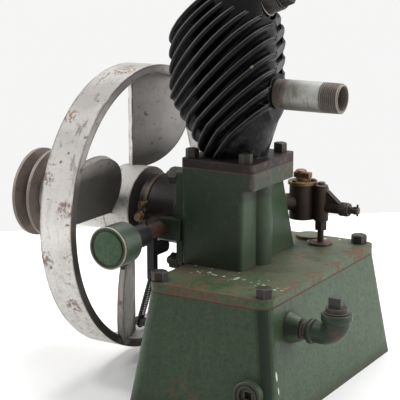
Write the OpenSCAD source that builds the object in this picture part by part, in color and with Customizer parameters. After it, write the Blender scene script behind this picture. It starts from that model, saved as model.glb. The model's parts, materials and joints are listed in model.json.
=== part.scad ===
// Small air-cooled single-cylinder engine standing on its own fuel tank.
// X runs along the crankshaft, with the flywheel and pulley on -X. -Y is the front, +Z is up.
// The origin is the centre of the tank's flat underside. Millimetres.

/* [Tank] */
// Width of the tank along the crankshaft, at its top
tank_w = 116; // [104:1:130]
// Length of the tank from front to back, at its top
tank_l = 222; // [200:1:250]
// Height of the tank, floor to gasket
tank_h = 98; // [80:1:120]
// How far each wall leans out from top to bottom
tank_spread = 14; // [8:1:20]
// Radius of the tank's upright corners
tank_corner_r = 12; // [8:1:16]
// Thickness of the cast tank walls and floor
tank_wall = 5; // [4:0.5:7]
// Thickness of the paper gasket on the tank
gasket_t = 1; // [0.5:0.1:2]
// Thickness of the lid plate
lid_t = 8; // [6:0.5:11]
// Radius of the round pad at the rear of the lid
lid_pad_r = 13; // [9:0.5:15]
// Height of the round pad
lid_pad_h = 3; // [2:0.5:5]
// Radius of the drain boss on the front wall
drain_r = 12; // [10:0.5:15]
// Height of the drain boss over the floor
drain_z = 29; // [24:1:40]
// Distance of the drain boss from the middle of the front wall
drain_x = 48; // [30:1:50]
// Length of the drain boss that stands off the tank wall
boss_proud = 5; // [3:0.5:8]
// Radius of the drain's pipe thread
drain_thread_r = 7.2; // [6:0.2:8]
// Width of the gasket's band on the tank's rim
gasket_band = 10; // [7:0.5:14]

/* [Crankcase] */
// Position of the cylinder axis along the crankshaft
engine_x = -28; // [-34:1:-22]
// Position of the cylinder axis and the crankshaft, front to back
engine_y = -4; // [-10:1:6]
// Width of the crankcase flange along the crankshaft
case_w = 72; // [66:1:80]
// Length of the crankcase flange, front to back
case_l = 82; // [76:1:90]
// Height of the crankcase, lid to cylinder joint
case_h = 87; // [80:1:100]
// Height of the crankcase's upper flange
case_flange_h = 15; // [10:0.5:20]
// How far the flange stands out over the body on +X
case_undercut = 10; // [8:0.5:14]
// How far the rear wall runs out at the bottom
case_rear_run = 26; // [16:1:34]
// Radius of the crankcase's upright corners
case_corner_r = 5; // [3:0.5:8]
// Radius of the upright transfer-port bulge
bulge_r = 14; // [10:0.5:18]
// Depth of the panel sunk into the +X wall behind the front strip
panel_d = 3; // [2:0.5:5]
// Width of the front strip of the +X wall
panel_strip = 27; // [22:1:30]
// Height of the crankshaft over the lid
crank_rise = 37.5; // [34:0.5:44]
// Radius of the bearing cover's round nose
cover_r = 34; // [32.5:0.5:36]
// Thickness of the bearing cover's plate
cover_t = 6; // [4:0.5:8]
// How far the bearing cover hangs down past the lid
cover_drop = 6; // [0:0.5:8]

/* [Cylinder] */
// Thickness of the cylinder's foot flange
foot_t = 7; // [6:0.5:11]
// Radius of the cylinder barrel
barrel_r = 33; // [30:0.5:35]
// Outer radius of the fins
fin_r = 49.5; // [47:0.5:52]
// How far the fins reach out further towards the flywheel
fin_shift = 12; // [8:0.5:14]
// Thickness of one fin
fin_t = 4; // [3:0.25:5.5]
// Upright distance between fins
fin_pitch = 13.95; // [12:0.05:16]
// Height of the lowest fin's middle over the cylinder's underside, on the fins' axis
fin_first = 2.3; // [0:0.1:12]
// Slope of the fins, rising towards +X
fin_slope = 47.5; // [42:0.5:50]
// Height of the cylinder over its joint
cylinder_h = 154.5; // [150:0.5:165]
// Radius of the tapered neck where it meets the foot
neck_foot_r = 31; // [28:0.5:34]
// Height over which the neck widens to the fins' full reach
neck_h = 56; // [50:1:66]
// Radius of the fins' rounded shoulder
shoulder_r = 44.5; // [40:0.5:46]
// Width of the upright slot that parts the fins over the exhaust
strip_w = 14; // [10:0.5:20]
// Radius of the cylinder's waist at its foot
waist_r = 24; // [21:0.5:27]
// Height over which the waist widens to the barrel
waist_h = 35; // [30:1:45]
// Outer radius of the exhaust passage under the boss
port_r = 23; // [20:0.5:25]
// Lean of the exhaust passage out to the boss
port_lean = 19; // [14:0.5:24]
// Height of the exhaust port over the cylinder joint
exhaust_rise = 64; // [58:1:72]
// Offset of the exhaust port towards the rear
exhaust_offset = 7; // [0:0.5:9]
// Outside diameter of the exhaust nipple
exhaust_d = 26.7; // [21:0.1:27]
// Bore of the exhaust nipple
exhaust_bore_d = 20.9; // [14:0.1:20.9]
// Distance of the exhaust boss face from the cylinder axis
exhaust_face = 35; // [34:0.5:38]
// Length of the nipple outside the boss
exhaust_l = 62; // [40:1:70]
// Depth of the nipple's screwed end in the boss
exhaust_seat = 12; // [8:0.5:16]
// Depth of a pipe thread
thread_depth = 0.9; // [0.6:0.1:1.2]
// Height of the spark plug seat over the cylinder joint
plug_rise = 140; // [137:0.5:142]
// Distance of the spark plug seat from the cylinder axis
plug_seat = 21; // [18:0.5:24]
// Upward tilt of the spark plug
plug_tilt = 22; // [15:1:30]
// Radius of the spark plug's gland
plug_r = 11; // [9:0.5:12]

/* [Flywheel] */
// Radius of the flywheel
wheel_r = 132; // [120:1:136]
// Width of the flywheel rim
wheel_w = 33; // [30:1:40]
// Thickness of the flywheel rim
rim_t = 7.5; // [6:0.5:10]
// Position of the rim's inner face along the crankshaft
wheel_x = -117; // [-122:1:-116]
// Radius of the hub barrel
hub_r = 27; // [24:0.5:30]
// Wall of the cored hub barrel
hub_wall = 7.5; // [6:0.5:9]
// Radius of the hub where it carries the blades
hub_flange_r = 37; // [35:0.5:41]
// Number of fan blades
blade_n = 4; // [3:1:5]
// Radius of the disc that a blade is cut from
blade_r = 57.5; // [48:0.5:60]
// Distance of that disc's middle from the crankshaft
blade_mid_r = 92; // [88:0.5:98]
// Distance of that disc's middle from the blade's straight trailing edge
blade_cut = 9; // [4:0.5:14]
// Thickness of a fan blade
blade_t = 6; // [4:0.5:8]
// Angle of the blade from the crankshaft
blade_pitch = 66; // [62:1:72]
// Distance of the trailing edge from the rim's outer face
blade_inset = 7; // [5:0.5:9]
// Radius of the V-belt pulley
pulley_r = 43; // [38:0.5:48]
// Width of the pulley
pulley_w = 20; // [16:0.5:26]
// Depth of the belt groove
groove_depth = 12; // [8:0.5:14]
// Width of each pulley flange at its rim
pulley_lip = 3; // [2:0.25:4]
// Position of the pulley's inner face along the crankshaft
pulley_x = -231; // [-240:1:-220]
// Diameter of the crankshaft
shaft_d = 19; // [16:0.5:20]

/* [Fittings] */
// Radius of the timer drum
timer_r = 31; // [29:0.5:32]
// Length of the timer drum
timer_l = 40; // [36:0.5:42]
// Position of the round can along the crankshaft
can_x = -84; // [-86:0.5:-82]
// Drop of the round can below the crankshaft
can_drop = 8; // [5:0.5:11]
// Radius of the round can at its cap
can_r = 18.5; // [16:0.5:20]
// Taper of the round can towards its neck
can_taper = 0.6; // [0:0.1:2]
// Length of the round can
can_l = 22; // [18:0.5:26]
// Wall of the round can
can_wall = 2; // [1:0.25:3]
// Distance of the can's front from the cylinder axis
can_reach = 125; // [121:1:132]
// Radius of the pipe that carries the can
pipe_r = 6.5; // [5:0.25:8]
// Thickness of the control lever
lever_t = 7; // [5:0.5:9]
// Length of the control lever below the can's axis
lever_drop = 42; // [36:1:46]
// Reach of the lever's side arm
lever_arm = 22; // [16:1:24]
// Distance of the lever in front of the crankcase
lever_ahead = 18.5; // [14:0.5:22]
// Radius of the mixer bowl
bowl_r = 12.5; // [10:0.5:14]
// Height of the mixer bowl
bowl_h = 33; // [28:0.5:38]
// Height of the bowl's underside over the lid
bowl_rise = 23; // [18:0.5:26]
// Distance of the mixer bowl behind the crankcase
bowl_back = 43; // [40:0.5:48]
// Distance of the mixer bowl from the cylinder axis along the crankshaft
bowl_side = 23; // [20:0.5:26]
// Length of the arm that carries the needle valve
needle_arm = 13; // [10:0.5:18]
// Distance of the filler below the tank's top
filler_drop = 22; // [18:1:32]
// Distance of the filler in front of the tank's middle
filler_y = 75; // [60:1:80]
// Length of the filler boss that stands off the tank wall
filler_proud = 11; // [8:0.5:14]
// Distance of the filler's upright barrel from the boss
filler_reach = 31; // [29:0.5:38]
// Radius of the filler elbow's arm
elbow_arm_r = 9; // [8.5:0.25:10]
// Radius of the filler elbow's upright barrel
elbow_r = 11.2; // [10:0.2:12]
// Radius of the filler elbow's collar
collar_r = 13; // [12.4:0.2:14]

/* [Fits] */
// Radial clearance of a running or screwed fit
fit = 0.05; // [0.02:0.01:0.1]
// Wall left round a screwed end
socket_wall = 4.5; // [4:0.5:6]

/* [Hidden] */
$fn = 64;

lid_z = tank_h + gasket_t;
deck_z = lid_z + lid_t;
joint_z = deck_z + case_h;
crank_z = deck_z + crank_rise;
case_x0 = engine_x - case_w / 2;
case_x1 = engine_x + case_w / 2;
case_y0 = engine_y - case_l / 2;
case_y1 = engine_y + case_l / 2;
bulge_inset = 2;
foot_z = joint_z + gasket_t;
crown_h = cylinder_h - gasket_t;
shaft_r = shaft_d / 2;
shaft_depth = case_w / 2;
shaft_end = 3;
cover_x = case_x0 - cover_t;
cover_margin = 3;
cover_w = case_l - 2 * cover_margin;
cover_z = deck_z - cover_drop;
cover_h = joint_z - cover_margin - cover_z;
nose_l = 6;
timer_x = cover_x - nose_l;
timer_wall = 4;
timer_cup = 8;
timer_gap = 6;
ring_x = timer_x - timer_l + 9;
ring_w = 3;
ring_t = 1;
terminal_x = timer_x - timer_l + 12;
terminal_turn = 88;
terminal_r = 3;
terminal_l = 16;
terminal_nut_r = 5;
wheel_outer_x = wheel_x - wheel_w;
hub_face_x = timer_x - timer_l - timer_gap;
pulley_end_x = pulley_x - pulley_w;
groove_floor = 4;
nut_t = 9;
nut_r = shaft_r + 8;
can_y = engine_y - can_reach;
can_z = crank_z - can_drop;
cap_t = 3;
cap_dish = 1;
can_floor = 3;
neck_l = 29;
neck_r = 10;
neck_y = can_y + cap_t + can_l;
pipe_y = neck_y + neck_l;
pipe_end_y = case_y0 - 1;
pipe_boss_r = pipe_r + 3;
pipe_boss_y = engine_y - timer_r - 1;
lever_y = case_y0 - lever_ahead;
lever_arm_z = -17;
lever_tip = 5;
lever_eye_r = 1.5;
spring_r = 3;
spring_z = can_z - lever_drop;
spring_slant = 20;
lug_r = 4;
lug_z = tank_h - 39;
lug_y = lever_y + lever_t / 2 - spring_slant;
exhaust_y = engine_y + exhaust_offset;
exhaust_z = joint_z + exhaust_rise;
exhaust_r = exhaust_d / 2;
exhaust_x = engine_x + exhaust_face;
boss_r = exhaust_r + socket_wall;
plug_boss_r = plug_r + 3;
barrel_top = crown_h - plug_boss_r / 2;
plug_room = 4;
plug_thread_r = 7;
plug_thread_l = 8;
plug_collar_h = 3;
plug_ring_h = 4;
plug_body_h = 15;
plug_hex_h = 9;
plug_hex_z = plug_collar_h + plug_ring_h + plug_body_h;
insulator_r = 5.5;
insulator_tip_r = 4;
insulator_seat = 7;
insulator_h = 12;
insulator_cone_h = 14;
plug_pin_r = 2.5;
plug_pin_h = 6;
bowl_x = engine_x + bowl_side;
bowl_y = case_y1 + bowl_back;
bowl_z = deck_z + bowl_rise;
bowl_wall = 2;
bowl_floor = 3;
bowl_cap_h = 3;
bowl_cap_r = bowl_r + 1.5;
knob_r = 7;
knob_h = 3;
knob_bar_l = 16;
knob_bar_w = 7;
knob_bar_h = 5;
body_r = 7;
body_x = bowl_x + bowl_r + body_r;
body_h = bowl_h - 2;
mix_r = 8;
mix_boss_r = mix_r + 3;
mix_z = bowl_z + bowl_h / 2;
mix_y = case_y1 + 17;
mix_turn = atan2(bowl_side, bowl_y - mix_y);
mix_l = norm([bowl_side, bowl_y - mix_y]);
needle_z = bowl_z + 13;
needle_r = 5;
needle_x = body_x + body_r + needle_arm;
gusset_t = 6;
packing_r = 6;
packing_l = 9;
stem_r = 3;
stem_l = 8;
union_h = 9;
union_r = 6;
fuel_r = 3;
fuel_reach = 60;
washer_r = 11;
washer_t = 2;
pad_y = bowl_y + 17;
filler_z = tank_h - filler_drop;
filler_x = wall_x(filler_z) + filler_proud;
filler_boss_r = 14;
filler_r = elbow_arm_r - 2;
filler_wall = 2;
filler_seat = 8;
elbow_x = filler_x + filler_reach;
elbow_arm_x = filler_x + 7;
elbow_seat = 6;
barrel_h = 19;
collar_h = 8;
plug_stem_h = 8;
plug_flange_r = 9.5;
plug_flange_h = 5;
plug_square = 11;
plug_square_h = 9;
drain_recess = 2;
drain_square = 6.5;
drain_square_h = 5;

// Lean of the tank's +X wall: its outer face at a height
function wall_x(z) = tank_w / 2 + tank_spread * (1 - z / tank_h);
// Lean of the tank's front and rear walls
function wall_y(z) = tank_l / 2 + tank_spread * (1 - z / tank_h);

// Flat rounded rectangle about the origin
module rounded(w, l, r) {
    square([w - 2 * r, l], center = true);
    square([w, l - 2 * r], center = true);
    for (x = [-1, 1], y = [-1, 1])
        translate([x * (w / 2 - r), y * (l / 2 - r)]) circle(r);
}

// Upright plate with rounded corners, from its underside
module plate(w, l, h, r) {
    linear_extrude(h) rounded(w, l, r);
}

// Round bar along X, from x0 to x1
module bar_x(x0, x1, r) {
    translate([x0, 0, 0]) rotate([0, 90, 0]) cylinder(h = x1 - x0, r = r);
}

// Round bar along Y, from y0 to y1
module bar_y(y0, y1, r) {
    translate([0, y1, 0]) rotate([90, 0, 0]) cylinder(h = y1 - y0, r = r);
}

// Closed frustum with rounded upright edges
module tank_block(inset, z0, z1) {
    hull() for (z = [z0, z1])
        translate([0, 0, z - (z == z1 ? 0.01 : 0)])
            linear_extrude(0.01)
                rounded(2 * (wall_x(z) - inset), 2 * (wall_y(z) - inset), tank_corner_r - inset / 2, $fn = 32);
}

// Places its children on the drain boss axis, facing out of the front wall
module at_drain() {
    translate([drain_x, -wall_y(drain_z), drain_z]) children();
}

module fuel_tank() color("darkgreen") difference() {
    union() {
        difference() {
            tank_block(0, 0, tank_h);
            tank_block(tank_wall, tank_wall, tank_h + 1);
        }
        at_drain() bar_y(-boss_proud, tank_wall, drain_r);
        at_filler() bar_x(filler_x - filler_proud - tank_wall, filler_x - filler_proud, filler_boss_r);
        at_filler() translate([filler_x - filler_proud, 0, 0]) rotate([0, 90, 0])
            cylinder(h = filler_proud, r1 = filler_boss_r, r2 = elbow_arm_r + 1);
    }
    at_drain() bar_y(-boss_proud - 1, 2 * tank_wall, drain_thread_r + fit);
    at_filler() bar_x(filler_x - filler_proud - 2 * tank_wall, filler_x + 1, filler_r + fit);
}

module drain_plug() color("darkolivegreen") at_drain() difference() {
    bar_y(drain_recess - boss_proud, tank_wall, drain_thread_r);
    translate([0, drain_recess - boss_proud, 0])
        cube([drain_square, 2 * drain_square_h, drain_square], center = true);
}

module tank_gasket() color("sienna") translate([0, 0, tank_h]) linear_extrude(gasket_t) difference() {
    rounded(tank_w, tank_l, tank_corner_r);
    rounded(tank_w - 2 * gasket_band, tank_l - 2 * gasket_band, tank_corner_r / 2);
}

module tank_lid() color("darkgreen") difference() {
    union() {
        translate([0, 0, lid_z]) plate(tank_w, tank_l, lid_t, tank_corner_r);
        intersection() {
            translate([bowl_x, pad_y, deck_z - 1]) cylinder(h = lid_pad_h + 1, r = lid_pad_r);
            translate([0, 0, lid_z]) plate(tank_w, tank_l, lid_t + lid_pad_h, tank_corner_r);
        }
    }
    translate([body_x, bowl_y, lid_z - 1]) cylinder(h = lid_t + 2, r = fuel_r + fit);
}

// Side view of the crankcase, front to back, with its rear wall running out to the lid
module case_side() {
    polygon([[case_y0, 0], [case_y1 + case_rear_run, 0], [case_y1, case_h - case_flange_h],
        [case_y1, case_h], [case_y0, case_h]]);
}

module crankcase() color("darkgreen") difference() {
    body_w = case_w - case_undercut;
    body_l = case_l + case_rear_run;
    union() {
        difference() {
            intersection() {
                translate([case_x0, 0, deck_z]) rotate([90, 0, 90]) linear_extrude(body_w) case_side();
                translate([case_x0 + body_w / 2, case_y0 + body_l / 2, deck_z])
                    plate(body_w, body_l, case_h, case_corner_r);
            }
            translate([case_x0 + body_w - panel_d, case_y0 + panel_strip, deck_z - 1])
                cube([2 * panel_d, body_l, case_h]);
        }
        translate([engine_x, engine_y, joint_z - case_flange_h])
            plate(case_w, case_l, case_flange_h, case_corner_r);
        translate([case_x1 - bulge_r - bulge_inset, engine_y - bulge_inset, deck_z])
            cylinder(h = case_h - case_flange_h, r = bulge_r);
        translate([engine_x, 0, mix_z]) bar_y(case_y1 - mix_boss_r, mix_y, mix_boss_r);
    }
    translate([0, engine_y, crank_z]) bar_x(case_x0 - 1, case_x0 + shaft_depth + 1, shaft_r + fit);
}

module cylinder_gasket() color("sienna") translate([engine_x, engine_y, joint_z])
    plate(case_w, case_l, gasket_t, case_corner_r);

// Space that the fins fill: round about the fins' axis with a domed shoulder, on a neck that widens
// about the cylinder's axis
module fin_envelope() {
    reach = fin_r + fin_shift;
    intersection() {
        translate([-fin_shift, 0, 0]) rotate_extrude() {
            square([fin_r, crown_h - shoulder_r]);
            square([fin_r - shoulder_r, crown_h]);
            intersection() {
                translate([fin_r - shoulder_r, crown_h - shoulder_r]) circle(shoulder_r);
                square([fin_r, crown_h]);
            }
        }
        rotate_extrude() polygon([[0, foot_t], [neck_foot_r, foot_t], [reach, foot_t + neck_h],
            [reach + 1, foot_t + neck_h], [reach + 1, cylinder_h], [0, cylinder_h]]);
    }
}

module sloping_fins() {
    last = floor((barrel_top + (barrel_r - fin_shift) * tan(fin_slope) - fin_first) / fin_pitch);
    intersection() {
        fin_envelope();
        union() for (i = [0 : last])
            translate([-fin_shift, 0, fin_first + i * fin_pitch]) rotate([0, -fin_slope, 0])
                cube([4 * fin_r, 3 * fin_r, fin_t], center = true);
    }
}

// Smooth outside of the exhaust passage, leaning from the cylinder's foot out to the boss
module port_wall() {
    rise = exhaust_rise - foot_t;
    intersection() {
        fin_envelope();
        translate([0, -fin_r, foot_t]) cube([exhaust_face, 2 * fin_r, rise]);
        translate([0, exhaust_offset / 2, foot_t]) rotate([0, port_lean, 0]) cylinder(h = rise, r = port_r);
    }
}

// Places its children on the spark plug axis, with +Z along it
module at_plug() {
    translate([engine_x + plug_seat, engine_y, joint_z + plug_rise])
        rotate([0, 90 - plug_tilt, 0]) children();
}

module finned_cylinder() color("black") difference() {
    union() {
        translate([engine_x, engine_y, foot_z]) {
            plate(case_w, case_l, foot_t, case_corner_r);
            cylinder(h = waist_h, r1 = waist_r, r2 = barrel_r);
            translate([0, 0, waist_h]) cylinder(h = barrel_top - waist_h, r = barrel_r);
            difference() {
                sloping_fins();
                translate([0, exhaust_offset - strip_w / 2, foot_t]) cube([2 * fin_r, strip_w, cylinder_h]);
            }
            port_wall();
        }
        translate([0, exhaust_y, exhaust_z]) bar_x(engine_x, exhaust_x, boss_r);
        at_plug() translate([0, 0, -plug_seat]) cylinder(h = plug_seat, r = plug_boss_r);
    }
    translate([0, exhaust_y, exhaust_z])
        bar_x(exhaust_x - exhaust_seat, exhaust_x + 1, exhaust_r - thread_depth + fit);
    translate([0, exhaust_y, exhaust_z]) bar_x(exhaust_x, engine_x + 2 * fin_r, boss_r);
    at_plug() cylinder(h = 2 * fin_r, r = plug_r + plug_room);
    at_plug() translate([0, 0, -plug_thread_l - 1]) cylinder(h = plug_thread_l + 2, r = plug_thread_r + fit);
}

module exhaust_nipple() color("silver") translate([0, exhaust_y, exhaust_z]) difference() {
    union() {
        bar_x(exhaust_x - exhaust_seat, exhaust_x, exhaust_r - thread_depth);
        bar_x(exhaust_x, exhaust_x + exhaust_l, exhaust_r);
    }
    bar_x(exhaust_x - exhaust_seat - 1, exhaust_x + exhaust_l + 1, exhaust_bore_d / 2);
}

module spark_plug_shell() color("dimgray") at_plug() difference() {
    union() {
        translate([0, 0, -plug_thread_l]) cylinder(h = plug_thread_l, r = plug_thread_r);
        cylinder(h = plug_collar_h, r = plug_r + 1.5);
        translate([0, 0, plug_collar_h]) cylinder(h = plug_ring_h, r = plug_r);
        translate([0, 0, plug_collar_h + plug_ring_h]) cylinder(h = plug_body_h, r = plug_r - 1);
        translate([0, 0, plug_hex_z]) cylinder(h = plug_hex_h, r = plug_r - 2, $fn = 6);
    }
    translate([0, 0, plug_hex_z + plug_hex_h - insulator_seat])
        cylinder(h = insulator_seat + 1, r = insulator_r + fit);
}

module spark_plug_insulator() color("ivory") at_plug()
    translate([0, 0, plug_hex_z + plug_hex_h - insulator_seat]) {
        cylinder(h = insulator_h, r = insulator_r);
        translate([0, 0, insulator_h]) cylinder(h = insulator_cone_h, r1 = insulator_r, r2 = insulator_tip_r);
        translate([0, 0, insulator_h + insulator_cone_h]) cylinder(h = plug_pin_h, r = plug_pin_r);
    }

module bearing_cover() color("darkolivegreen") difference() {
    union() {
        translate([cover_x, engine_y, cover_z + cover_h / 2]) rotate([90, 0, 90])
            linear_extrude(cover_t) rounded(cover_w, cover_h, case_corner_r);
        translate([0, engine_y, crank_z]) bar_x(timer_x, case_x0, cover_r);
        translate([can_x, pipe_end_y, can_z - pipe_boss_r])
            cube([case_x0 - can_x, pipe_boss_y - pipe_end_y, 2 * pipe_boss_r]);
        at_can() bar_y(pipe_end_y, pipe_boss_y, pipe_boss_r);
    }
    translate([0, engine_y, crank_z]) bar_x(can_x - pipe_boss_r, case_x0 + 1, shaft_r + fit);
}

module timer_drum() color("dimgray") translate([0, engine_y, crank_z]) difference() {
    bar_x(timer_x - timer_l, timer_x, timer_r);
    bar_x(timer_x - timer_l - 1, timer_x - timer_l + timer_cup, timer_r - timer_wall);
    bar_x(timer_x - timer_l - 1, timer_x + 1, shaft_r + 10 * fit);
}

module timer_ring() color("saddlebrown") translate([0, engine_y, crank_z]) difference() {
    bar_x(ring_x - ring_w, ring_x, timer_r + ring_t);
    bar_x(ring_x - ring_w - 1, ring_x + 1, timer_r);
}

module timer_terminal() color("goldenrod")
    translate([terminal_x, engine_y, crank_z]) rotate([terminal_turn, 0, 0]) {
        translate([0, 0, timer_r]) cylinder(h = terminal_l, r = terminal_r);
        translate([0, 0, timer_r + terminal_r]) cylinder(h = terminal_r, r = terminal_nut_r, $fn = 6);
    }

module at_can() {
    translate([can_x, 0, can_z]) children();
}

// Cone along +Y, from y0 to y1
module cone_y(y0, y1, r0, r1) {
    translate([0, y0, 0]) rotate([-90, 0, 0]) cylinder(h = y1 - y0, r1 = r0, r2 = r1);
}

module round_can() color("darkgreen") at_can() difference() {
    cone_y(can_y + cap_t, neck_y, can_r, can_r - can_taper);
    cone_y(can_y + cap_t - 0.01, neck_y - can_floor, can_r - can_wall, can_r - can_wall - can_taper);
}

module can_cap() color("seagreen") at_can() difference() {
    bar_y(can_y, can_y + cap_t, can_r);
    bar_y(can_y - 1, can_y + cap_dish, can_r - can_wall);
}

module can_neck() color("black") at_can() bar_y(neck_y, pipe_y, neck_r);

module can_pipe() color("saddlebrown") at_can() bar_y(pipe_y, pipe_end_y, pipe_r);

// Flat lever: a bar with an eye at its foot, and a round-ended arm towards the crankcase
module control_lever() color("black") at_can() translate([0, lever_y, 0]) difference() {
    union() {
        translate([-lever_t / 2, 0, -lever_drop]) cube([lever_t, lever_t, lever_drop]);
        translate([0, lever_t / 2, -lever_drop]) bar_x(-lever_t / 2, lever_t / 2, lever_t / 2);
        translate([-lever_t / 2, lever_t / 2, lever_arm_z - lever_tip])
            cube([lever_t, lever_arm - lever_t / 2, 2 * lever_tip]);
        translate([0, lever_arm, lever_arm_z]) bar_x(-lever_t / 2, lever_t / 2, lever_tip);
    }
    bar_y(-1, lever_t + 1, pipe_r);
    translate([0, lever_t / 2, -lever_drop]) bar_x(-lever_t, lever_t, lever_eye_r);
}

module lever_link() color("black") {
    rise = spring_z - lug_z;
    slant = atan(spring_slant / rise);
    translate([can_x, lug_y, lug_z]) rotate([-slant, 0, 0]) translate([0, 0, lug_r + fit])
        cylinder(h = norm([rise, spring_slant]) - lug_r - lever_t / 2 - 2 * fit, r = spring_r);
}

module link_lug() color("black") difference() {
    translate([0, lug_y, lug_z]) bar_x(can_x - lug_r, lug_r - wall_x(lug_z), lug_r);
    tank_block(0, 0, tank_h);
}

module mixer_neck() color("saddlebrown") difference() {
    translate([engine_x, mix_y, mix_z]) rotate([0, 0, -mix_turn]) bar_y(-2 * mix_r, mix_l, mix_r);
    translate([bowl_x, bowl_y, bowl_z - 1]) cylinder(h = bowl_h + 2, r = bowl_r);
    translate([engine_x - case_w, mix_y - case_l, bowl_z]) cube([2 * case_w, case_l, bowl_h]);
}

module mixer_bowl() color("saddlebrown") translate([bowl_x, bowl_y, bowl_z]) difference() {
    cylinder(h = bowl_h, r = bowl_r);
    translate([0, 0, bowl_floor]) cylinder(h = bowl_h, r = bowl_r - bowl_wall);
}

module mixer_cap() color("peru") translate([bowl_x, bowl_y, bowl_z + bowl_h])
    cylinder(h = bowl_cap_h, r = bowl_cap_r);

module mixer_knob() color("peru") translate([bowl_x, bowl_y, bowl_z + bowl_h + bowl_cap_h]) {
    cylinder(h = knob_h, r = knob_r);
    translate([-knob_bar_l / 2, -knob_bar_w / 2, knob_h]) cube([knob_bar_l, knob_bar_w, knob_bar_h]);
}

module mixer_body() color("saddlebrown") translate([body_x, bowl_y, 0]) {
    arm_top = needle_z + needle_r;
    arm_end = body_r + needle_arm;
    translate([0, 0, bowl_z]) cylinder(h = body_h, r = body_r);
    translate([0, 0, needle_z]) bar_x(0, arm_end, needle_r);
    translate([0, gusset_t / 2, 0]) rotate([90, 0, 0]) linear_extrude(gusset_t)
        polygon([[0, needle_z], [arm_end, needle_z], [arm_end, arm_top], [body_r, bowl_z + body_h - 2],
            [0, bowl_z + body_h - 2]]);
}

module needle_valve() color("saddlebrown") translate([needle_x, bowl_y, needle_z]) {
    bar_x(0, packing_l, packing_r);
    bar_x(packing_l, packing_l + stem_l, stem_r);
}

module union_nut() color("saddlebrown") translate([body_x, bowl_y, bowl_z - union_h])
    cylinder(h = union_h, r = union_r, $fn = 6);

module fuel_pipe() color("saddlebrown") translate([body_x, bowl_y, lid_z - fuel_reach])
    cylinder(h = bowl_z - union_h - lid_z + fuel_reach, r = fuel_r);

module pipe_washer() color("sienna") translate([body_x, bowl_y, deck_z]) difference() {
    cylinder(h = washer_t, r = washer_r);
    translate([0, 0, -1]) cylinder(h = washer_t + 2, r = fuel_r + fit);
}

module at_filler() {
    translate([0, -filler_y, filler_z]) children();
}

module filler_nipple() color("darkolivegreen") at_filler() difference() {
    bar_x(filler_x - filler_seat, elbow_arm_x + elbow_seat, filler_r);
    bar_x(filler_x - filler_seat - 1, elbow_arm_x + elbow_seat + 1, filler_r - filler_wall);
}

// Quarter bend from the arm up into the barrel, cast a little fuller than the arm
module filler_elbow() color("darkgreen") at_filler() difference() {
    union() {
        bar_x(elbow_arm_x, elbow_x - elbow_r, elbow_arm_r);
        translate([elbow_x - elbow_r, 0, elbow_r]) rotate([90, 0, 0]) rotate([0, 0, -90])
            rotate_extrude(angle = 90) translate([elbow_r, 0]) circle(elbow_arm_r);
        translate([elbow_x, 0, 0]) sphere(elbow_arm_r);
        translate([elbow_x, 0, 0]) cylinder(h = barrel_h, r = elbow_r);
        translate([elbow_x, 0, barrel_h - collar_h]) cylinder(h = collar_h, r = collar_r);
    }
    bar_x(elbow_arm_x - 1, elbow_arm_x + elbow_seat, filler_r + fit);
    translate([elbow_x, 0, barrel_h - plug_stem_h]) cylinder(h = plug_stem_h + 1, r = filler_r + fit);
}

module filler_plug() color("darkolivegreen") at_filler() translate([elbow_x, 0, barrel_h]) {
    translate([0, 0, -plug_stem_h]) cylinder(h = plug_stem_h, r = filler_r);
    cylinder(h = plug_flange_h, r = plug_flange_r);
    translate([-plug_square / 2, -plug_square / 2, plug_flange_h])
        cube([plug_square, plug_square, plug_square_h]);
}

module crankshaft() color("silver") translate([0, engine_y, crank_z])
    bar_x(pulley_end_x - nut_t - shaft_end, case_x0 + shaft_depth, shaft_r);

// Petal outline of one blade: a disc cut straight along its trailing edge, which lies on Y
module blade_outline() {
    intersection() {
        translate([blade_cut, blade_mid_r]) circle(blade_r);
        square([2 * blade_r, wheel_r]);
    }
}

module fan_blades() {
    intersection() {
        for (k = [0 : blade_n - 1])
            rotate([k * 360 / blade_n, 0, 0]) translate([wheel_outer_x + blade_inset, 0, 0])
                rotate([0, 0, blade_pitch]) rotate([90, 0, 0])
                    translate([0, 0, -blade_t / 2]) linear_extrude(blade_t) blade_outline();
        bar_x(wheel_outer_x - wheel_w, wheel_x + wheel_w, wheel_r - rim_t / 2);
    }
}

module flywheel() color("lightgray") translate([0, engine_y, crank_z]) difference() {
    union() {
        difference() {
            bar_x(wheel_outer_x, wheel_x, wheel_r);
            bar_x(wheel_outer_x - 1, wheel_x + 1, wheel_r - rim_t);
        }
        bar_x(pulley_x, hub_face_x, hub_r);
        bar_x(wheel_outer_x, hub_face_x, hub_flange_r);
        fan_blades();
    }
    bar_x(pulley_x - 1, hub_face_x + 1, shaft_r + fit);
    bar_x(pulley_x - 1, wheel_outer_x, hub_r - hub_wall);
}

module pulley() color("saddlebrown") translate([pulley_end_x, engine_y, crank_z]) rotate([0, 90, 0])
    difference() {
        rotate_extrude() polygon([[0, 0], [pulley_r, 0], [pulley_r, pulley_lip],
            [pulley_r - groove_depth, (pulley_w - groove_floor) / 2],
            [pulley_r - groove_depth, (pulley_w + groove_floor) / 2],
            [pulley_r, pulley_w - pulley_lip], [pulley_r, pulley_w], [0, pulley_w]]);
        translate([0, 0, -1]) cylinder(h = pulley_w + 2, r = shaft_r + fit);
    }

module shaft_nut() color("dimgray") translate([0, engine_y, crank_z]) difference() {
    translate([pulley_end_x - nut_t, 0, 0]) rotate([0, 90, 0]) cylinder(h = nut_t, r = nut_r, $fn = 6);
    bar_x(pulley_end_x - nut_t - 1, pulley_end_x + 1, shaft_r + fit);
}

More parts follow.
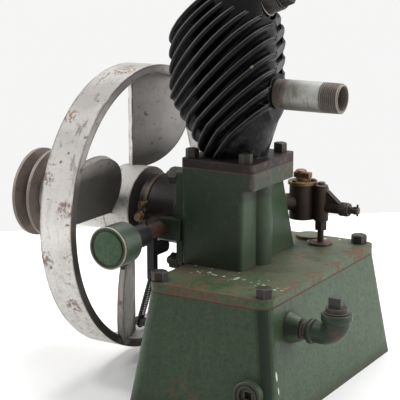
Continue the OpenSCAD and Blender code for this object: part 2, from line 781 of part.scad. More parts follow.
fuel_tank();
tank_gasket();
tank_lid();
drain_plug();
crankcase();
cylinder_gasket();
finned_cylinder();
exhaust_nipple();
spark_plug_shell();
spark_plug_insulator();
bearing_cover();
timer_drum();
timer_ring();
timer_terminal();
round_can();
can_cap();
can_neck();
can_pipe();
control_lever();
lever_link();
link_lug();
mixer_neck();
mixer_bowl();
mixer_cap();
mixer_knob();
mixer_body();
needle_valve();
union_nut();
fuel_pipe();
pipe_washer();
filler_nipple();
filler_elbow();
filler_plug();
crankshaft();
flywheel();
pulley();
shaft_nut();
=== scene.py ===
"""Looks of a small air-cooled single-cylinder engine that stands on its own cast fuel tank.

Metres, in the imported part's frame: X along the crankshaft with the flywheel on -X, -Y the front, +Z up.
"""

import json
import math

import bmesh
import bpy
import numpy as np
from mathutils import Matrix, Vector


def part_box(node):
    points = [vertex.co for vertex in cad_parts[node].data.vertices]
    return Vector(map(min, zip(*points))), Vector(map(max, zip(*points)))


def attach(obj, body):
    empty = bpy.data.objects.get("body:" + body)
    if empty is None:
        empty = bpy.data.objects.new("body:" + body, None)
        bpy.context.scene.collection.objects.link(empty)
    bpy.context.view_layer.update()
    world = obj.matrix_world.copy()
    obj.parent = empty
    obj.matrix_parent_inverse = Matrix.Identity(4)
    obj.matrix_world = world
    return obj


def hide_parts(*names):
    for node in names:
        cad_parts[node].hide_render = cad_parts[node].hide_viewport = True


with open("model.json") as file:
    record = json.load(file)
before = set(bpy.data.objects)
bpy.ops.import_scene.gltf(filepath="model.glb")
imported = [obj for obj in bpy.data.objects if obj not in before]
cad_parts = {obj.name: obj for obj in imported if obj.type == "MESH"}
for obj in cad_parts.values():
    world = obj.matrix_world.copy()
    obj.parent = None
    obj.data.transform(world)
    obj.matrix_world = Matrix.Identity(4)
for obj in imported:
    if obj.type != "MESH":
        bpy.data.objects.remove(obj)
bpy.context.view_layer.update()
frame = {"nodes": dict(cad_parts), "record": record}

MM = 0.001
TURN = 2 * math.pi

# Camera, solved from the tank's corners, the cylinder joint, the pipe and the wheel
CAMERA_PLACE = (0.52346, -1.00814, 0.41677)
CAMERA_AZIMUTH = math.radians(30.49)
CAMERA_ELEVATION = math.radians(12.61)
SENSOR_MM = 36.0
IMAGE_PX = 400
FOCAL_PX = 1308.67

# Where the floor ends behind the object
FLOOR_FAR_LEFT = (-0.5503, 0.2973)
FLOOR_FAR_RIGHT = (-0.1409, 0.6725)
FLOOR_WHITE = (0.78, 0.78, 0.776, 1)

# Axis of the cylinder, and how far the fins' own axis stands behind it
CYLINDER_X, CYLINDER_Y = -28.0 * MM, -4.0 * MM
FIN_SHIFT = 12.0 * MM

# Pipe thread: 14 turns to the inch
PIPE_PITCH = 25.4 / 14 * MM
PIPE_THREAD_DEPTH = 0.9 * MM


# Mesh making

def grid_faces(rows, cols, wrap_rows=False, wrap_cols=False):
    """Quads between neighbouring points of a grid; a wrapped direction joins its last line to its first."""
    r = np.arange(rows if wrap_rows else rows - 1)[:, None]
    c = np.arange(cols if wrap_cols else cols - 1)[None, :]
    r1, c1 = (r + 1) % rows, (c + 1) % cols
    return np.stack([r * cols + c, r * cols + c1, r1 * cols + c1, r1 * cols + c], -1).reshape(-1, 4)


def revolved(profile, turns, ribs=0, rib_depth=0.0):
    """Surface of revolution about local Z: point (s, a) is (r(s) cos a, r(s) sin a, z(s)).

    The profile is a list of (r, z); where it starts and ends on the axis the surface closes in poles.
    Ribs press r in by rib_depth * (1 - cos(ribs a)) / 2, as on a knurled nut."""
    line = np.asarray(profile, float)
    a = np.linspace(0, TURN, turns, endpoint=False)
    r = np.clip(line[:, 0:1] - rib_depth * (1 - np.cos(ribs * a)) / 2 * (line[:, 0:1] > 0), 0, None)
    points = np.stack([r * np.cos(a), r * np.sin(a), np.broadcast_to(line[:, 1:2], r.shape)], -1)
    return points.reshape(-1, 3), grid_faces(len(line), turns, wrap_cols=True)


def turned(profile_mm, turns, ribs=0, rib_depth=0.0):
    """A turned piece: a surface of revolution whose profile is given in millimetres."""
    return revolved(np.asarray(profile_mm, float) * MM, turns, ribs, rib_depth)


def ring(radius, wire, turns=96, sides=12):
    """Torus about local Z: a round wire carried once round a circle."""
    a = np.linspace(0, TURN, turns, endpoint=False)
    return tube(np.stack([radius * np.cos(a), radius * np.sin(a), np.zeros(turns)], -1), wire, sides, closed=True)


def hexagon(flats, height, chamfer, turns=72):
    """Bolt head about local Z: its outline is a hexagon, r(a) = apothem / cos(a within a side).

    The top is cut by a cone, z = height - chamfer * (how far r goes past the apothem)."""
    a = np.linspace(0, TURN, turns, endpoint=False)
    side = TURN / 6
    apothem = flats / 2
    corner = apothem / np.cos((a % side) - side / 2)
    share = np.array([0.0, 1.0, 1.0, 0.985, 0.9, 0.55, 0.0])[:, None]
    r = share * corner
    low = np.array([0.0, 0.0, 1.0, 1.0, 1.0, 1.0, 1.0])[:, None]
    cone = height - chamfer * np.clip(r - 0.9 * apothem, 0, None)
    step = np.array([0, 0, 0.04, 0.01, 0, 0, 0])[:, None]
    z = low * np.minimum(cone - step * height, height)
    points = np.stack([r * np.cos(a), r * np.sin(a), np.broadcast_to(z, r.shape)], -1)
    return points.reshape(-1, 3), grid_faces(len(share), turns, wrap_cols=True)


def tube(path, radius, sides=16, closed=False):
    """Round section carried along a path: each ring lies across the path's direction.

    The ring's two axes are the direction crossed with a fixed side and crossed again; radius may vary."""
    line = np.asarray(path, float)
    ahead = np.roll(line, -1, 0) - np.roll(line, 1, 0)
    if not closed:
        ahead[0], ahead[-1] = line[1] - line[0], line[-1] - line[-2]
    ahead /= np.linalg.norm(ahead, axis=1, keepdims=True)
    across = np.cross(ahead, np.array([0.31, 0.17, 0.93]))
    across /= np.linalg.norm(across, axis=1, keepdims=True)
    over = np.cross(ahead, across)
    a = np.linspace(0, TURN, sides, endpoint=False)
    r = np.broadcast_to(np.asarray(radius, float), (len(line),))
    if not closed:
        line = np.concatenate([line[:1], line, line[-1:]])
        across = np.concatenate([across[:1], across, across[-1:]])
        over = np.concatenate([over[:1], over, over[-1:]])
        r = np.concatenate([[0.0], r, [0.0]])
    around = np.cos(a)[None, :, None] * across[:, None] + np.sin(a)[None, :, None] * over[:, None]
    points = line[:, None] + r[:, None, None] * around
    return points.reshape(-1, 3), grid_faces(len(line), sides, closed, True)


def placed(part, origin, axis, turn=0.0):
    """Moves a part made about local Z so that Z lies along axis, turned about it, with its zero at origin."""
    points, faces = part
    z = np.asarray(axis, float)
    z = z / np.linalg.norm(z)
    side = np.array([1.0, 0, 0]) if abs(z[0]) < 0.9 else np.array([0, 1.0, 0])
    y = np.cross(z, side)
    y /= np.linalg.norm(y)
    x = np.cross(y, z)
    c, s = math.cos(turn), math.sin(turn)
    basis = np.stack([c * x + s * y, c * y - s * x, z])
    return points @ basis + np.asarray(origin, float), faces


def piece(name, parts, body, slot, finish=None, sharp_deg=35, replaces=()):
    """One object from several parts: joined arrays, doubled points merged, normals turned outwards.

    It takes its slot's finish unless it is given another."""
    points, faces, count = [], [], 0
    for p, f in parts:
        points.append(p)
        faces.append(f + count)
        count += len(p)
    mesh = bpy.data.meshes.new(name)
    mesh.from_pydata(np.concatenate(points).tolist(), [], np.concatenate(faces).tolist())
    b = bmesh.new()
    b.from_mesh(mesh)
    bmesh.ops.remove_doubles(b, verts=b.verts, dist=1e-7)
    bmesh.ops.recalc_face_normals(b, faces=b.faces)
    b.to_mesh(mesh)
    b.free()
    mesh.shade_smooth()
    mesh.set_sharp_from_angle(angle=math.radians(sharp_deg))
    made = bpy.data.objects.new(name, mesh)
    bpy.context.scene.collection.objects.link(made)
    mesh.materials.append(finish or FINISHES[slot])
    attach(made, body)
    if replaces:
        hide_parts(*replaces)


# Shader helpers

def feed(tree, socket, value):
    """Links a socket's value, or sets it directly."""
    if isinstance(value, bpy.types.NodeSocket):
        tree.links.new(value, socket)
    elif isinstance(value, tuple) and socket.type == "RGBA":
        socket.default_value = (*value, 1.0)
    else:
        socket.default_value = value


def put(tree, kind, settings=None, **sockets):
    """Adds one node, sets its properties, and fills or links its input sockets by name."""
    n = tree.nodes.new(kind)
    for key, value in (settings or {}).items():
        setattr(n, key, value)
    for key, value in sockets.items():
        feed(tree, n.inputs[key.replace("_", " ")], value)
    return n


def sums(tree, operation, a, b=0.0, clamp=False):
    """One Math node on two values."""
    n = put(tree, "ShaderNodeMath", {"operation": operation, "use_clamp": clamp})
    feed(tree, n.inputs[0], a)
    feed(tree, n.inputs[1], b)
    return n.outputs[0]


VALUE, VECTOR = "NodeSocketFloat", "NodeSocketVector"


def group(name, build, **values):
    """A shader node group that makes one mask from a place and named values; None stands for one more place."""
    made = bpy.data.node_groups.new(name, "ShaderNodeTree")
    for label, default in (("Vector", None), *values.items()):
        kind = VECTOR if default is None else VALUE
        socket = made.interface.new_socket(label, in_out="INPUT", socket_type=kind)
        if default is not None:
            socket.default_value = default
    made.interface.new_socket("Mask", in_out="OUTPUT", socket_type=VALUE)
    entry, leave = made.nodes.new("NodeGroupInput"), made.nodes.new("NodeGroupOutput")
    made.links.new(build(made, entry.outputs), leave.inputs["Mask"])
    return made


def noise(tree, given, detail, **more):
    """Fractal noise at the place and scale that the group is given."""
    return put(tree, "ShaderNodeTexNoise",
               **{"Vector": given["Vector"], "Scale": given["Scale"], "Detail": detail, **more}).outputs["Fac"]


def build_patches(tree, given):
    """Cloudy patches: fractal noise, kept where it rises over a level, with a soft edge."""
    over = sums(tree, "SUBTRACT", noise(tree, given, 7.0, Roughness=0.66), given["Level"])
    return sums(tree, "DIVIDE", over, given["Soft"], clamp=True)


def build_worn_edges(tree, given):
    """Worn edges: how far the rounded normal turns from the plain one, on open edges, broken up by noise."""
    rounded = put(tree, "ShaderNodeBevel", {"samples": 6}, Radius=given["Radius"])
    plain = put(tree, "ShaderNodeNewGeometry")
    dot = put(tree, "ShaderNodeVectorMath", {"operation": "DOT_PRODUCT"})
    tree.links.new(rounded.outputs[0], dot.inputs[0])
    tree.links.new(plain.outputs["Normal"], dot.inputs[1])
    bent = sums(tree, "MULTIPLY", sums(tree, "SUBTRACT", 1.0, dot.outputs["Value"]), given["Gain"])
    open_air = put(tree, "ShaderNodeAmbientOcclusion", {"samples": 6}, Distance=given["Radius"])
    lit = sums(tree, "MULTIPLY", sums(tree, "SUBTRACT", open_air.outputs["AO"], 0.45), 2.2, clamp=True)
    broken = sums(tree, "MULTIPLY", sums(tree, "SUBTRACT", noise(tree, given, 5.0), given["Level"]), 6.0, clamp=True)
    return sums(tree, "MULTIPLY", sums(tree, "MULTIPLY", bent, lit, clamp=True), broken, clamp=True)


def build_grime(tree, given):
    """Darker in corners: what nearby faces hide of the sky, broken up by noise."""
    sky = put(tree, "ShaderNodeAmbientOcclusion", {"samples": 8}, Distance=given["Distance"])
    hidden = sums(tree, "SUBTRACT", 1.0, sky.outputs["AO"])
    swell = sums(tree, "ADD", noise(tree, given, 6.0), 0.35)
    return sums(tree, "MULTIPLY", sums(tree, "MULTIPLY", hidden, swell), given["Gain"], clamp=True)


def build_specks(tree, given):
    """Specks: round cells of a Voronoi pattern, of which a share is kept, each with its own size."""
    cells = put(tree, "ShaderNodeTexVoronoi", Vector=given["Vector"], Scale=given["Scale"])
    split = put(tree, "ShaderNodeSeparateColor", Color=cells.outputs["Color"])
    kept = sums(tree, "LESS_THAN", split.outputs[0], given["Share"])
    size = sums(tree, "MULTIPLY", sums(tree, "ADD", split.outputs[1], 0.3), given["Size"])
    inside = sums(tree, "MULTIPLY", sums(tree, "SUBTRACT", size, cells.outputs["Distance"]), 25.0, clamp=True)
    return sums(tree, "MULTIPLY", inside, kept)


def build_casting(tree, given):
    """Skin of sand-cast iron under paint: broad swells and a fine grain, as one height."""
    fine = noise(tree, given, 4.0, Scale=sums(tree, "MULTIPLY", given["Scale"], 9.0))
    return sums(tree, "ADD", noise(tree, given, 2.0), sums(tree, "MULTIPLY", fine, given["Grain"]))


def build_spot(tree, given):
    """A stain about one point: 1 at the point, 0 at a radius that noise makes uneven."""
    gap = put(tree, "ShaderNodeVectorMath", {"operation": "DISTANCE"})
    tree.links.new(given["Vector"], gap.inputs[0])
    tree.links.new(given["Centre"], gap.inputs[1])
    reach = sums(tree, "MULTIPLY", given["Radius"], sums(tree, "ADD", noise(tree, given, 6.0), 0.5))
    inside = sums(tree, "SUBTRACT", 1.0, sums(tree, "DIVIDE", gap.outputs["Value"], reach))
    return sums(tree, "MULTIPLY", inside, 3.0, clamp=True)


def build_facing(tree, given):
    """How far the surface faces one direction of the object, over a level."""
    plain = put(tree, "ShaderNodeTexCoord")
    dot = put(tree, "ShaderNodeVectorMath", {"operation": "DOT_PRODUCT"})
    tree.links.new(plain.outputs["Normal"], dot.inputs[0])
    tree.links.new(given["Vector"], dot.inputs[1])
    over = sums(tree, "SUBTRACT", dot.outputs["Value"], given["Level"])
    return sums(tree, "DIVIDE", over, given["Soft"], clamp=True)


def build_below(tree, given):
    """What lies under a height, with a soft and slightly uneven edge."""
    split = put(tree, "ShaderNodeSeparateXYZ", Vector=given["Vector"])
    sway = sums(tree, "MULTIPLY", sums(tree, "SUBTRACT", noise(tree, given, 5.0), 0.5), given["Soft"])
    under = sums(tree, "SUBTRACT", sums(tree, "ADD", given["Height"], sway), split.outputs["Z"])
    return sums(tree, "DIVIDE", under, given["Soft"], clamp=True)


PATCHES = group("patches", build_patches, Scale=20.0, Level=0.5, Soft=0.1)
WORN_EDGES = group("worn_edges", build_worn_edges, Radius=0.0015, Gain=6.0, Scale=60.0, Level=0.4)
CORNER_DARK = group("grime", build_grime, Distance=0.012, Scale=40.0, Gain=1.5)
SPECKS = group("specks", build_specks, Scale=150.0, Share=0.1, Size=0.3)
CASTING = group("casting", build_casting, Scale=60.0, Grain=0.3)
SPOT = group("spot", build_spot, Centre=None, Radius=0.01, Scale=150.0)
FACING = group("facing", build_facing, Level=0.2, Soft=0.5)
BELOW = group("below", build_below, Height=0.0, Soft=0.004, Scale=70.0)


class Finish:
    """One material: a base colour that further layers are laid over, then a rounded, bumped surface."""

    def __init__(self, name, base, rough, metal=0.0):
        self.material = bpy.data.materials.new(name)
        self.material.use_nodes = True
        self.tree = self.material.node_tree
        self.shader = self.tree.nodes["Principled BSDF"]
        self.place = put(self.tree, "ShaderNodeTexCoord").outputs["Object"]
        self.colour, self.rough, self.metal = base, rough, metal

    def along(self, scale):
        """Object coordinates, stretched by a scale along each axis."""
        return put(self.tree, "ShaderNodeMapping", Vector=self.place, Scale=scale).outputs[0]

    def use(self, kind, vector=None, **values):
        """Places one shared group and returns its output."""
        return put(self.tree, "ShaderNodeGroup", {"node_tree": kind}, Vector=vector or self.place, **values).outputs[0]

    def both(self, one, other):
        """Where two masks meet."""
        return sums(self.tree, "MULTIPLY", one, other)

    def layer(self, mask, colour, strength=1.0, rough=None, metal=None):
        """Lays a colour, and its own roughness and metal, over what is there."""
        share = mask if strength == 1.0 else sums(self.tree, "MULTIPLY", mask, strength)
        self.colour = self.over("RGBA", share, self.colour, colour)
        if rough is not None:
            self.rough = self.over("FLOAT", share, self.rough, rough)
        if metal is not None:
            self.metal = self.over("FLOAT", share, self.metal, metal)

    def cloud(self, scale, level, soft, colour, strength, stretch=None, within=None, rough=None, metal=None):
        """Lays a colour in cloudy patches, stretched along the axes or kept within a mask if asked."""
        mask = self.use(PATCHES, self.along(stretch) if stretch else None, Scale=scale, Level=level, Soft=soft)
        self.layer(mask if within is None else self.both(within, mask), colour, strength, rough, metal)

    def over(self, kind, share, below, above):
        """Mixes two colours or values by share."""
        n = put(self.tree, "ShaderNodeMix", {"data_type": kind})
        first = 6 if kind == "RGBA" else 2
        for socket, value in ((n.inputs[0], share), (n.inputs[first], below), (n.inputs[first + 1], above)):
            feed(self.tree, socket, value)
        return n.outputs[2 if kind == "RGBA" else 0]

    def done(self, height, bump=0.3, depth=0.0004, round_edge=0.0008, shine=0.5):
        """Rounds the edges by a bevelled normal, adds the height as bump, and fills the shader's sockets."""
        rounded = put(self.tree, "ShaderNodeBevel", {"samples": 6}, Radius=round_edge)
        bumped = put(self.tree, "ShaderNodeBump", Strength=bump, Distance=depth, Height=height,
                     Normal=rounded.outputs[0])
        for label, value in (("Base Color", self.colour), ("Roughness", self.rough), ("Metallic", self.metal),
                             ("Specular IOR Level", shine), ("Normal", bumped.outputs[0])):
            feed(self.tree, self.shader.inputs[label], value)
        return self.material


# Colours, linear
GREEN = (0.040, 0.073, 0.034)
GREEN_LIGHT = (0.072, 0.112, 0.066)
GREEN_DARK = (0.016, 0.027, 0.016)
RUST = (0.105, 0.046, 0.026)
RUST_DARK = (0.034, 0.022, 0.016)
RUST_BRIGHT = (0.15, 0.078, 0.040)
DUST = (0.115, 0.095, 0.064)
FLAKE = (0.56, 0.53, 0.42)
IRON_BARE = (0.19, 0.185, 0.18)
BLACK = (0.0042, 0.0041, 0.0047)
SILVER = (0.68, 0.66, 0.635)
SILVER_DARK = (0.070, 0.064, 0.058)
SILVER_CLOUD = (0.54, 0.515, 0.49)
SILVER_STREAK = (0.36, 0.33, 0.30)
SILVER_DULL = (0.38, 0.355, 0.33)
SILVER_GREY = (0.20, 0.18, 0.165)
SILVER_GRAIN = (0.46, 0.435, 0.41)
SILVER_PAINTED_LIGHT = (0.84, 0.81, 0.78)
SILVER_TOP_SHADE = (0.27, 0.255, 0.24)
SILVER_STAIN = (0.21, 0.20, 0.192)
SILVER_BLADE_LIGHT = (0.60, 0.56, 0.51)
SOOT_AND_SHADE = (0.30, 0.28, 0.272)
SOOT_AND_SHADE_LOW = (0.034, 0.031, 0.027)
SOOT_CLOUD = (0.12, 0.11, 0.10)
CHIPPED = (0.085, 0.055, 0.038)
CORNER_SHADE = (0.007, 0.013, 0.007)
CASE_LIT_SIDE = (0.040, 0.074, 0.033)
CASE_FOOT = (0.024, 0.036, 0.018)
FLANGE_BROWN = (0.062, 0.042, 0.033)
FLANGE_GREY = (0.11, 0.105, 0.095)
BLACK_CLOUD = (0.008, 0.007, 0.0075)
BLACK_WORN = (0.05, 0.048, 0.048)
BLACK_FOOT = (0.020, 0.015, 0.015)
NECK_GREY_AND_HIGHLIGHT = (0.060, 0.056, 0.060)
YELLOW_SPECK = (0.62, 0.58, 0.36)
ZINC = (0.43, 0.425, 0.40)
ZINC_BLOTCH = (0.22, 0.215, 0.185)
ZINC_STREAK = (0.18, 0.155, 0.095)
ZINC_TOP_SHADE = (0.23, 0.23, 0.225)
ZINC_UNDER_SHADE = (0.15, 0.145, 0.13)
THREAD_BROWN = (0.145, 0.108, 0.078)
BORE_SHADE = (0.022, 0.019, 0.016)


def green_paint(name, base=GREEN, rust=0.62, rust_share=0.8, dirt=0.5, grime=1.2, dust=0.0, flakes=0.0, shine=0.22,
                light=0.35, edge=RUST, edge_r=0.0015, edge_level=0.42):
    """Old green enamel on cast iron: lighter clouds, dark dirt, rust through it, dusty tops and darker corners."""
    f = Finish(name, base, rough=0.38)
    f.cloud(26.0, 0.46, 0.35, GREEN_LIGHT, light, stretch=(1, 1, 0.25))
    f.cloud(55.0, 0.50, 0.25, GREEN_DARK, dirt, rough=0.45)
    f.cloud(330.0, 0.46, 0.18, GREEN_DARK, 0.7, rough=0.5)
    f.cloud(210.0, 0.58, 0.10, GREEN_LIGHT, 1.5 * light)
    f.cloud(34.0, rust, 0.14, RUST, rust_share, rough=0.7)
    if dust:
        top = f.use(FACING, vector=(0.0, 0.0, 1.0), Level=0.5, Soft=0.3)
        f.cloud(22.0, 0.34, 0.3, DUST, dust, within=top, rough=0.75)
        f.cloud(60.0, 0.56, 0.12, GREEN_DARK, 0.6, within=top, rough=0.5)
    f.layer(f.use(CORNER_DARK, Gain=grime), RUST_DARK, 0.8, rough=0.8)
    f.layer(f.use(WORN_EDGES, Radius=edge_r, Level=edge_level), edge, 0.85, rough=0.6)
    f.layer(f.use(SPECKS, Scale=330.0, Share=0.05, Size=0.32), RUST_DARK, 0.7)
    if flakes:
        f.layer(f.use(SPECKS, Scale=210.0, Share=flakes, Size=0.42), FLAKE, 0.8, rough=0.7)
    return f, f.use(CASTING, Scale=45.0, Grain=0.25), shine


def painted(*args, **options):
    """Green enamel, finished."""
    f, height, shine = green_paint(*args, **options)
    return f.done(height, bump=0.35, shine=shine)


# Middles and radii of the flakes and rust on the lid
LID_FLAKES = (((-0.028, -0.060, 0.107), 0.016), ((0.000, -0.060, 0.107), 0.014),
              ((0.030, -0.064, 0.107), 0.012), ((0.045, -0.072, 0.107), 0.012))
LID_RUST = (((0.052, -0.060, 0.107), 0.016), ((0.055, -0.020, 0.105), 0.014), ((0.056, 0.020, 0.105), 0.012),
            ((0.055, 0.070, 0.105), 0.016), ((-0.020, -0.100, 0.107), 0.020), ((0.020, 0.030, 0.107), 0.016))


def lid_paint():
    """The lid's enamel: brown with dust and oil, with pale flakes in front of the crankcase's foot."""
    f, height, shine = green_paint("lid_paint", rust=0.525, dust=0.6, flakes=0.012, grime=1.4,
                                    edge_r=0.0042, edge_level=0.33)
    for centre, radius in LID_FLAKES:
        f.layer(f.both(f.use(SPOT, Centre=centre, Radius=radius),
                       f.use(SPECKS, Scale=300.0, Share=0.36, Size=0.48)), FLAKE, 0.6, rough=0.8)
    for centre, radius in LID_RUST:
        f.cloud(130.0, 0.47, 0.12, RUST, 0.75, rough=0.75, within=f.use(SPOT, Centre=centre, Radius=radius, Scale=90.0))
    return f.done(height, bump=0.4, shine=shine)


# Middles and radii of the scratches, with Z at a quarter so that they are upright
TANK_SCRATCHES = (((0.0657, -0.1077, 0.0109), 0.0014), ((0.0675, -0.1074, 0.0079), 0.0011))


def tank_paint():
    """The tank's enamel: upright stains, a front corner darkened as painted shade, with two pale scratches, a brown
    foot.
    """
    f, height, shine = green_paint("tank_paint", base=(0.030, 0.057, 0.025), rust=0.68, dirt=0.3, light=0.25,
                                    shine=0.26)
    f.cloud(120.0, 0.50, 0.2, GREEN_DARK, 0.45, stretch=(1, 1, 0.12))
    # Painted shade: the rounded front corner is darkened
    f.layer(f.use(FACING, vector=(0.55, -0.82, 0.15), Level=0.80, Soft=0.14), CORNER_SHADE, 0.92, rough=0.75)
    f.layer(f.use(BELOW, Height=0.012, Soft=0.014), RUST_DARK, 0.55, rough=0.6)
    foot_rust = f.use(SPOT, Centre=(-0.017, -0.123, 0.012), Radius=0.020, Scale=120.0)
    f.cloud(150.0, 0.48, 0.1, RUST, 0.55, within=foot_rust, rough=0.7)
    upright = f.along((1, 1, 0.25))
    for centre, radius in TANK_SCRATCHES:
        f.layer(f.use(SPOT, vector=upright, Centre=centre, Radius=radius), FLAKE, 0.9)
    return f.done(height, bump=0.35, shine=shine)


def case_paint():
    """The crankcase's enamel: nearly black, partly dirt and partly painted shade on the front; painted light makes the
    exhaust side lighter and greener; a dusty brown flange.
    """
    f, height, shine = green_paint("case_paint", base=(0.011, 0.022, 0.009), rust=0.57, rust_share=0.35, dirt=0.5,
                                    light=0.16, shine=0.26)
    # Painted light: faces turned to the right are made lighter and greener below the flange
    side = f.use(FACING, vector=(0.95, -0.31, 0.0), Level=0.45, Soft=0.3)
    f.layer(f.both(side, f.use(BELOW, Height=0.170, Soft=0.004)), CASE_LIT_SIDE, 0.38)
    f.cloud(80.0, 0.52, 0.15, GREEN_DARK, 0.4, stretch=(1, 1, 0.3), within=side)
    flange = f.both(side, f.use(SPOT, vector=f.along((0, 0, 1)), Centre=(0.0, 0.0, 0.186), Radius=0.014, Scale=60.0))
    f.cloud(75.0, 0.46, 0.2, FLANGE_BROWN, 0.7, within=flange, rough=0.6)
    f.cloud(190.0, 0.52, 0.12, FLANGE_GREY, 0.5, within=flange, rough=0.6)
    f.layer(f.use(BELOW, Height=0.138, Soft=0.02, Scale=30.0), CASE_FOOT, 0.4)
    return f.done(height, bump=0.35, shine=shine)


def black_iron():
    """Satin black on cast iron: greyer at worn edges, grey patches on the neck's right side that are partly painted
    highlight, and a brown dusty foot.
    """
    f = Finish("black_iron", BLACK, rough=0.32)
    f.cloud(40.0, 0.48, 0.3, BLACK_CLOUD, 0.8, rough=0.42)
    f.layer(f.use(WORN_EDGES, Radius=0.0016, Gain=5.0, Scale=45.0, Level=0.40), BLACK_WORN, 0.5, rough=0.4)
    foot = f.use(BELOW, Height=0.2045, Soft=0.003)
    f.layer(foot, BLACK_FOOT, 0.9, rough=0.5)
    f.cloud(70.0, 0.52, 0.15, RUST, 0.5, within=foot, rough=0.75)
    f.layer(f.use(SPOT, Centre=(-0.0003, -0.0335, 0.2856), Radius=0.0022, Scale=500.0), YELLOW_SPECK, 0.9)
    # Grey patches on the neck's side turned to the right, partly grey paint and partly painted highlight
    neck = f.both(f.use(BELOW, Height=0.250, Soft=0.03, Scale=60.0),
                  f.use(FACING, vector=(1.0, -0.1, 0.0), Level=0.35, Soft=0.4))
    f.cloud(110.0, 0.50, 0.12, NECK_GREY_AND_HIGHLIGHT, 0.55, within=neck, rough=0.4)
    return f.done(f.use(CASTING, Scale=110.0, Grain=0.3), bump=0.5, depth=0.0009, round_edge=0.0014, shine=0.15)


# Middles and radii of the grey stains and the rust on the wheel's rim
RIM_STAINS = (((-0.134, -0.066, 0.246), 0.030), ((-0.140, -0.100, 0.216), 0.016), ((-0.134, -0.010, 0.268), 0.022))
RIM_RUST = (((-0.124, -0.134, 0.166), 0.0085), ((-0.130, -0.030, 0.272), 0.013), ((-0.144, -0.094, 0.238), 0.009),
            ((-0.146, -0.128, 0.190), 0.007), ((-0.146, -0.132, 0.120), 0.008), ((-0.130, -0.118, 0.075), 0.010))


def silver_paint():
    """Aluminium paint over cast iron: soft clouds, brown scratches and rust; painted light on the front of the rim and
    on the lower blade; painted shade on the upward faces; dark on the engine's side with soot and painted shade.
    """
    f = Finish("silver_paint", SILVER, rough=0.50, metal=0.1)
    f.cloud(22.0, 0.42, 0.35, SILVER_CLOUD, 0.8)
    f.cloud(30.0, 0.50, 0.2, SILVER_STREAK, 0.35, stretch=(4, 1, 1))
    f.cloud(95.0, 0.53, 0.15, SILVER_DULL, 0.55)
    f.cloud(150.0, 0.62, 0.05, RUST_DARK, 0.55, stretch=(1.2, 0.35, 0.35))
    f.cloud(210.0, 0.55, 0.15, SILVER_GREY, 0.6)
    f.cloud(420.0, 0.50, 0.12, SILVER_GRAIN, 0.4)
    # Painted light: a pale patch on the front of the rim
    f.layer(f.use(SPOT, Centre=(-0.134, -0.130, 0.172), Radius=0.050, Scale=30.0), SILVER_PAINTED_LIGHT, 0.55)
    upper = f.use(FACING, vector=(-0.2, -0.3, 0.93), Level=0.3, Soft=0.5)
    # Painted shade: the upward faces are darkened
    f.layer(upper, SILVER_TOP_SHADE, 0.75)
    for centre, radius in RIM_STAINS:
        f.layer(f.use(SPOT, Centre=centre, Radius=radius, Scale=45.0), SILVER_STAIN, 0.6)
    f.cloud(90.0, 0.56, 0.06, RUST_DARK, 0.6, stretch=(1, 0.4, 0.4), within=upper)
    # Darker on faces turned to the engine, partly soot and partly painted shade, and darker still low down
    soot_and_shade = f.use(FACING, vector=(1.0, 0.0, 0.0), Level=0.15, Soft=0.5)
    f.layer(soot_and_shade, SOOT_AND_SHADE, 0.92, rough=0.55, metal=0.0)
    low = f.both(soot_and_shade, f.use(BELOW, Height=0.215, Soft=0.03, Scale=20.0))
    f.layer(low, SOOT_AND_SHADE_LOW, 0.95, rough=0.5)
    # Painted light: the lower blade is made pale
    f.layer(f.use(SPOT, Centre=(-0.134, -0.040, 0.060), Radius=0.042, Scale=60.0), SILVER_BLADE_LIGHT, 0.95)
    f.cloud(55.0, 0.52, 0.2, SOOT_CLOUD, 0.4, within=soot_and_shade)
    f.layer(f.use(SPECKS, Scale=190.0, Share=0.06, Size=0.26), SILVER_DARK, 0.8, rough=0.7)
    f.cloud(36.0, 0.635, 0.06, RUST, 0.7, rough=0.8, metal=0.0)
    f.cloud(190.0, 0.625, 0.04, RUST, 0.75, stretch=(0.5, 1, 1), rough=0.8, metal=0.0)
    for centre, radius in RIM_RUST:
        f.cloud(330.0, 0.47, 0.06, RUST_BRIGHT, 0.8, stretch=(1, 0.7, 0.7), rough=0.8, metal=0.0,
                within=f.use(SPOT, Centre=centre, Radius=radius, Scale=200.0))
    f.layer(f.use(CORNER_DARK, Distance=0.02, Gain=1.0), SILVER_DARK, 0.7, rough=0.7, metal=0.0)
    f.layer(f.use(WORN_EDGES, Radius=0.0035, Gain=9.0, Scale=60.0, Level=0.36), CHIPPED, 0.9)
    return f.done(f.use(CASTING, Scale=70.0, Grain=0.35), bump=0.4, shine=0.35)


def bare_metal(name, base, dark, rough, metal, rust=0.58, edge=IRON_BARE, rust_colour=RUST, shine=0.3):
    """Bare or blackened metal: darker clouds, rust patches, darker corners and rubbed edges."""
    f = Finish(name, base, rough, metal)
    f.cloud(60.0, 0.44, 0.25, dark, 0.85, rough=min(rough + 0.2, 1.0))
    f.cloud(90.0, rust, 0.12, rust_colour, 0.85, rough=0.8, metal=0.0)
    f.layer(f.use(CORNER_DARK, Distance=0.008, Gain=1.3), RUST_DARK, 0.7, rough=0.8, metal=0.0)
    f.layer(f.use(WORN_EDGES, Radius=0.001, Level=0.4), edge, 0.8, rough=0.35, metal=0.7)
    return f.done(f.use(CASTING, Scale=150.0, Grain=0.5), bump=0.35, depth=0.0003, round_edge=0.0006, shine=shine)


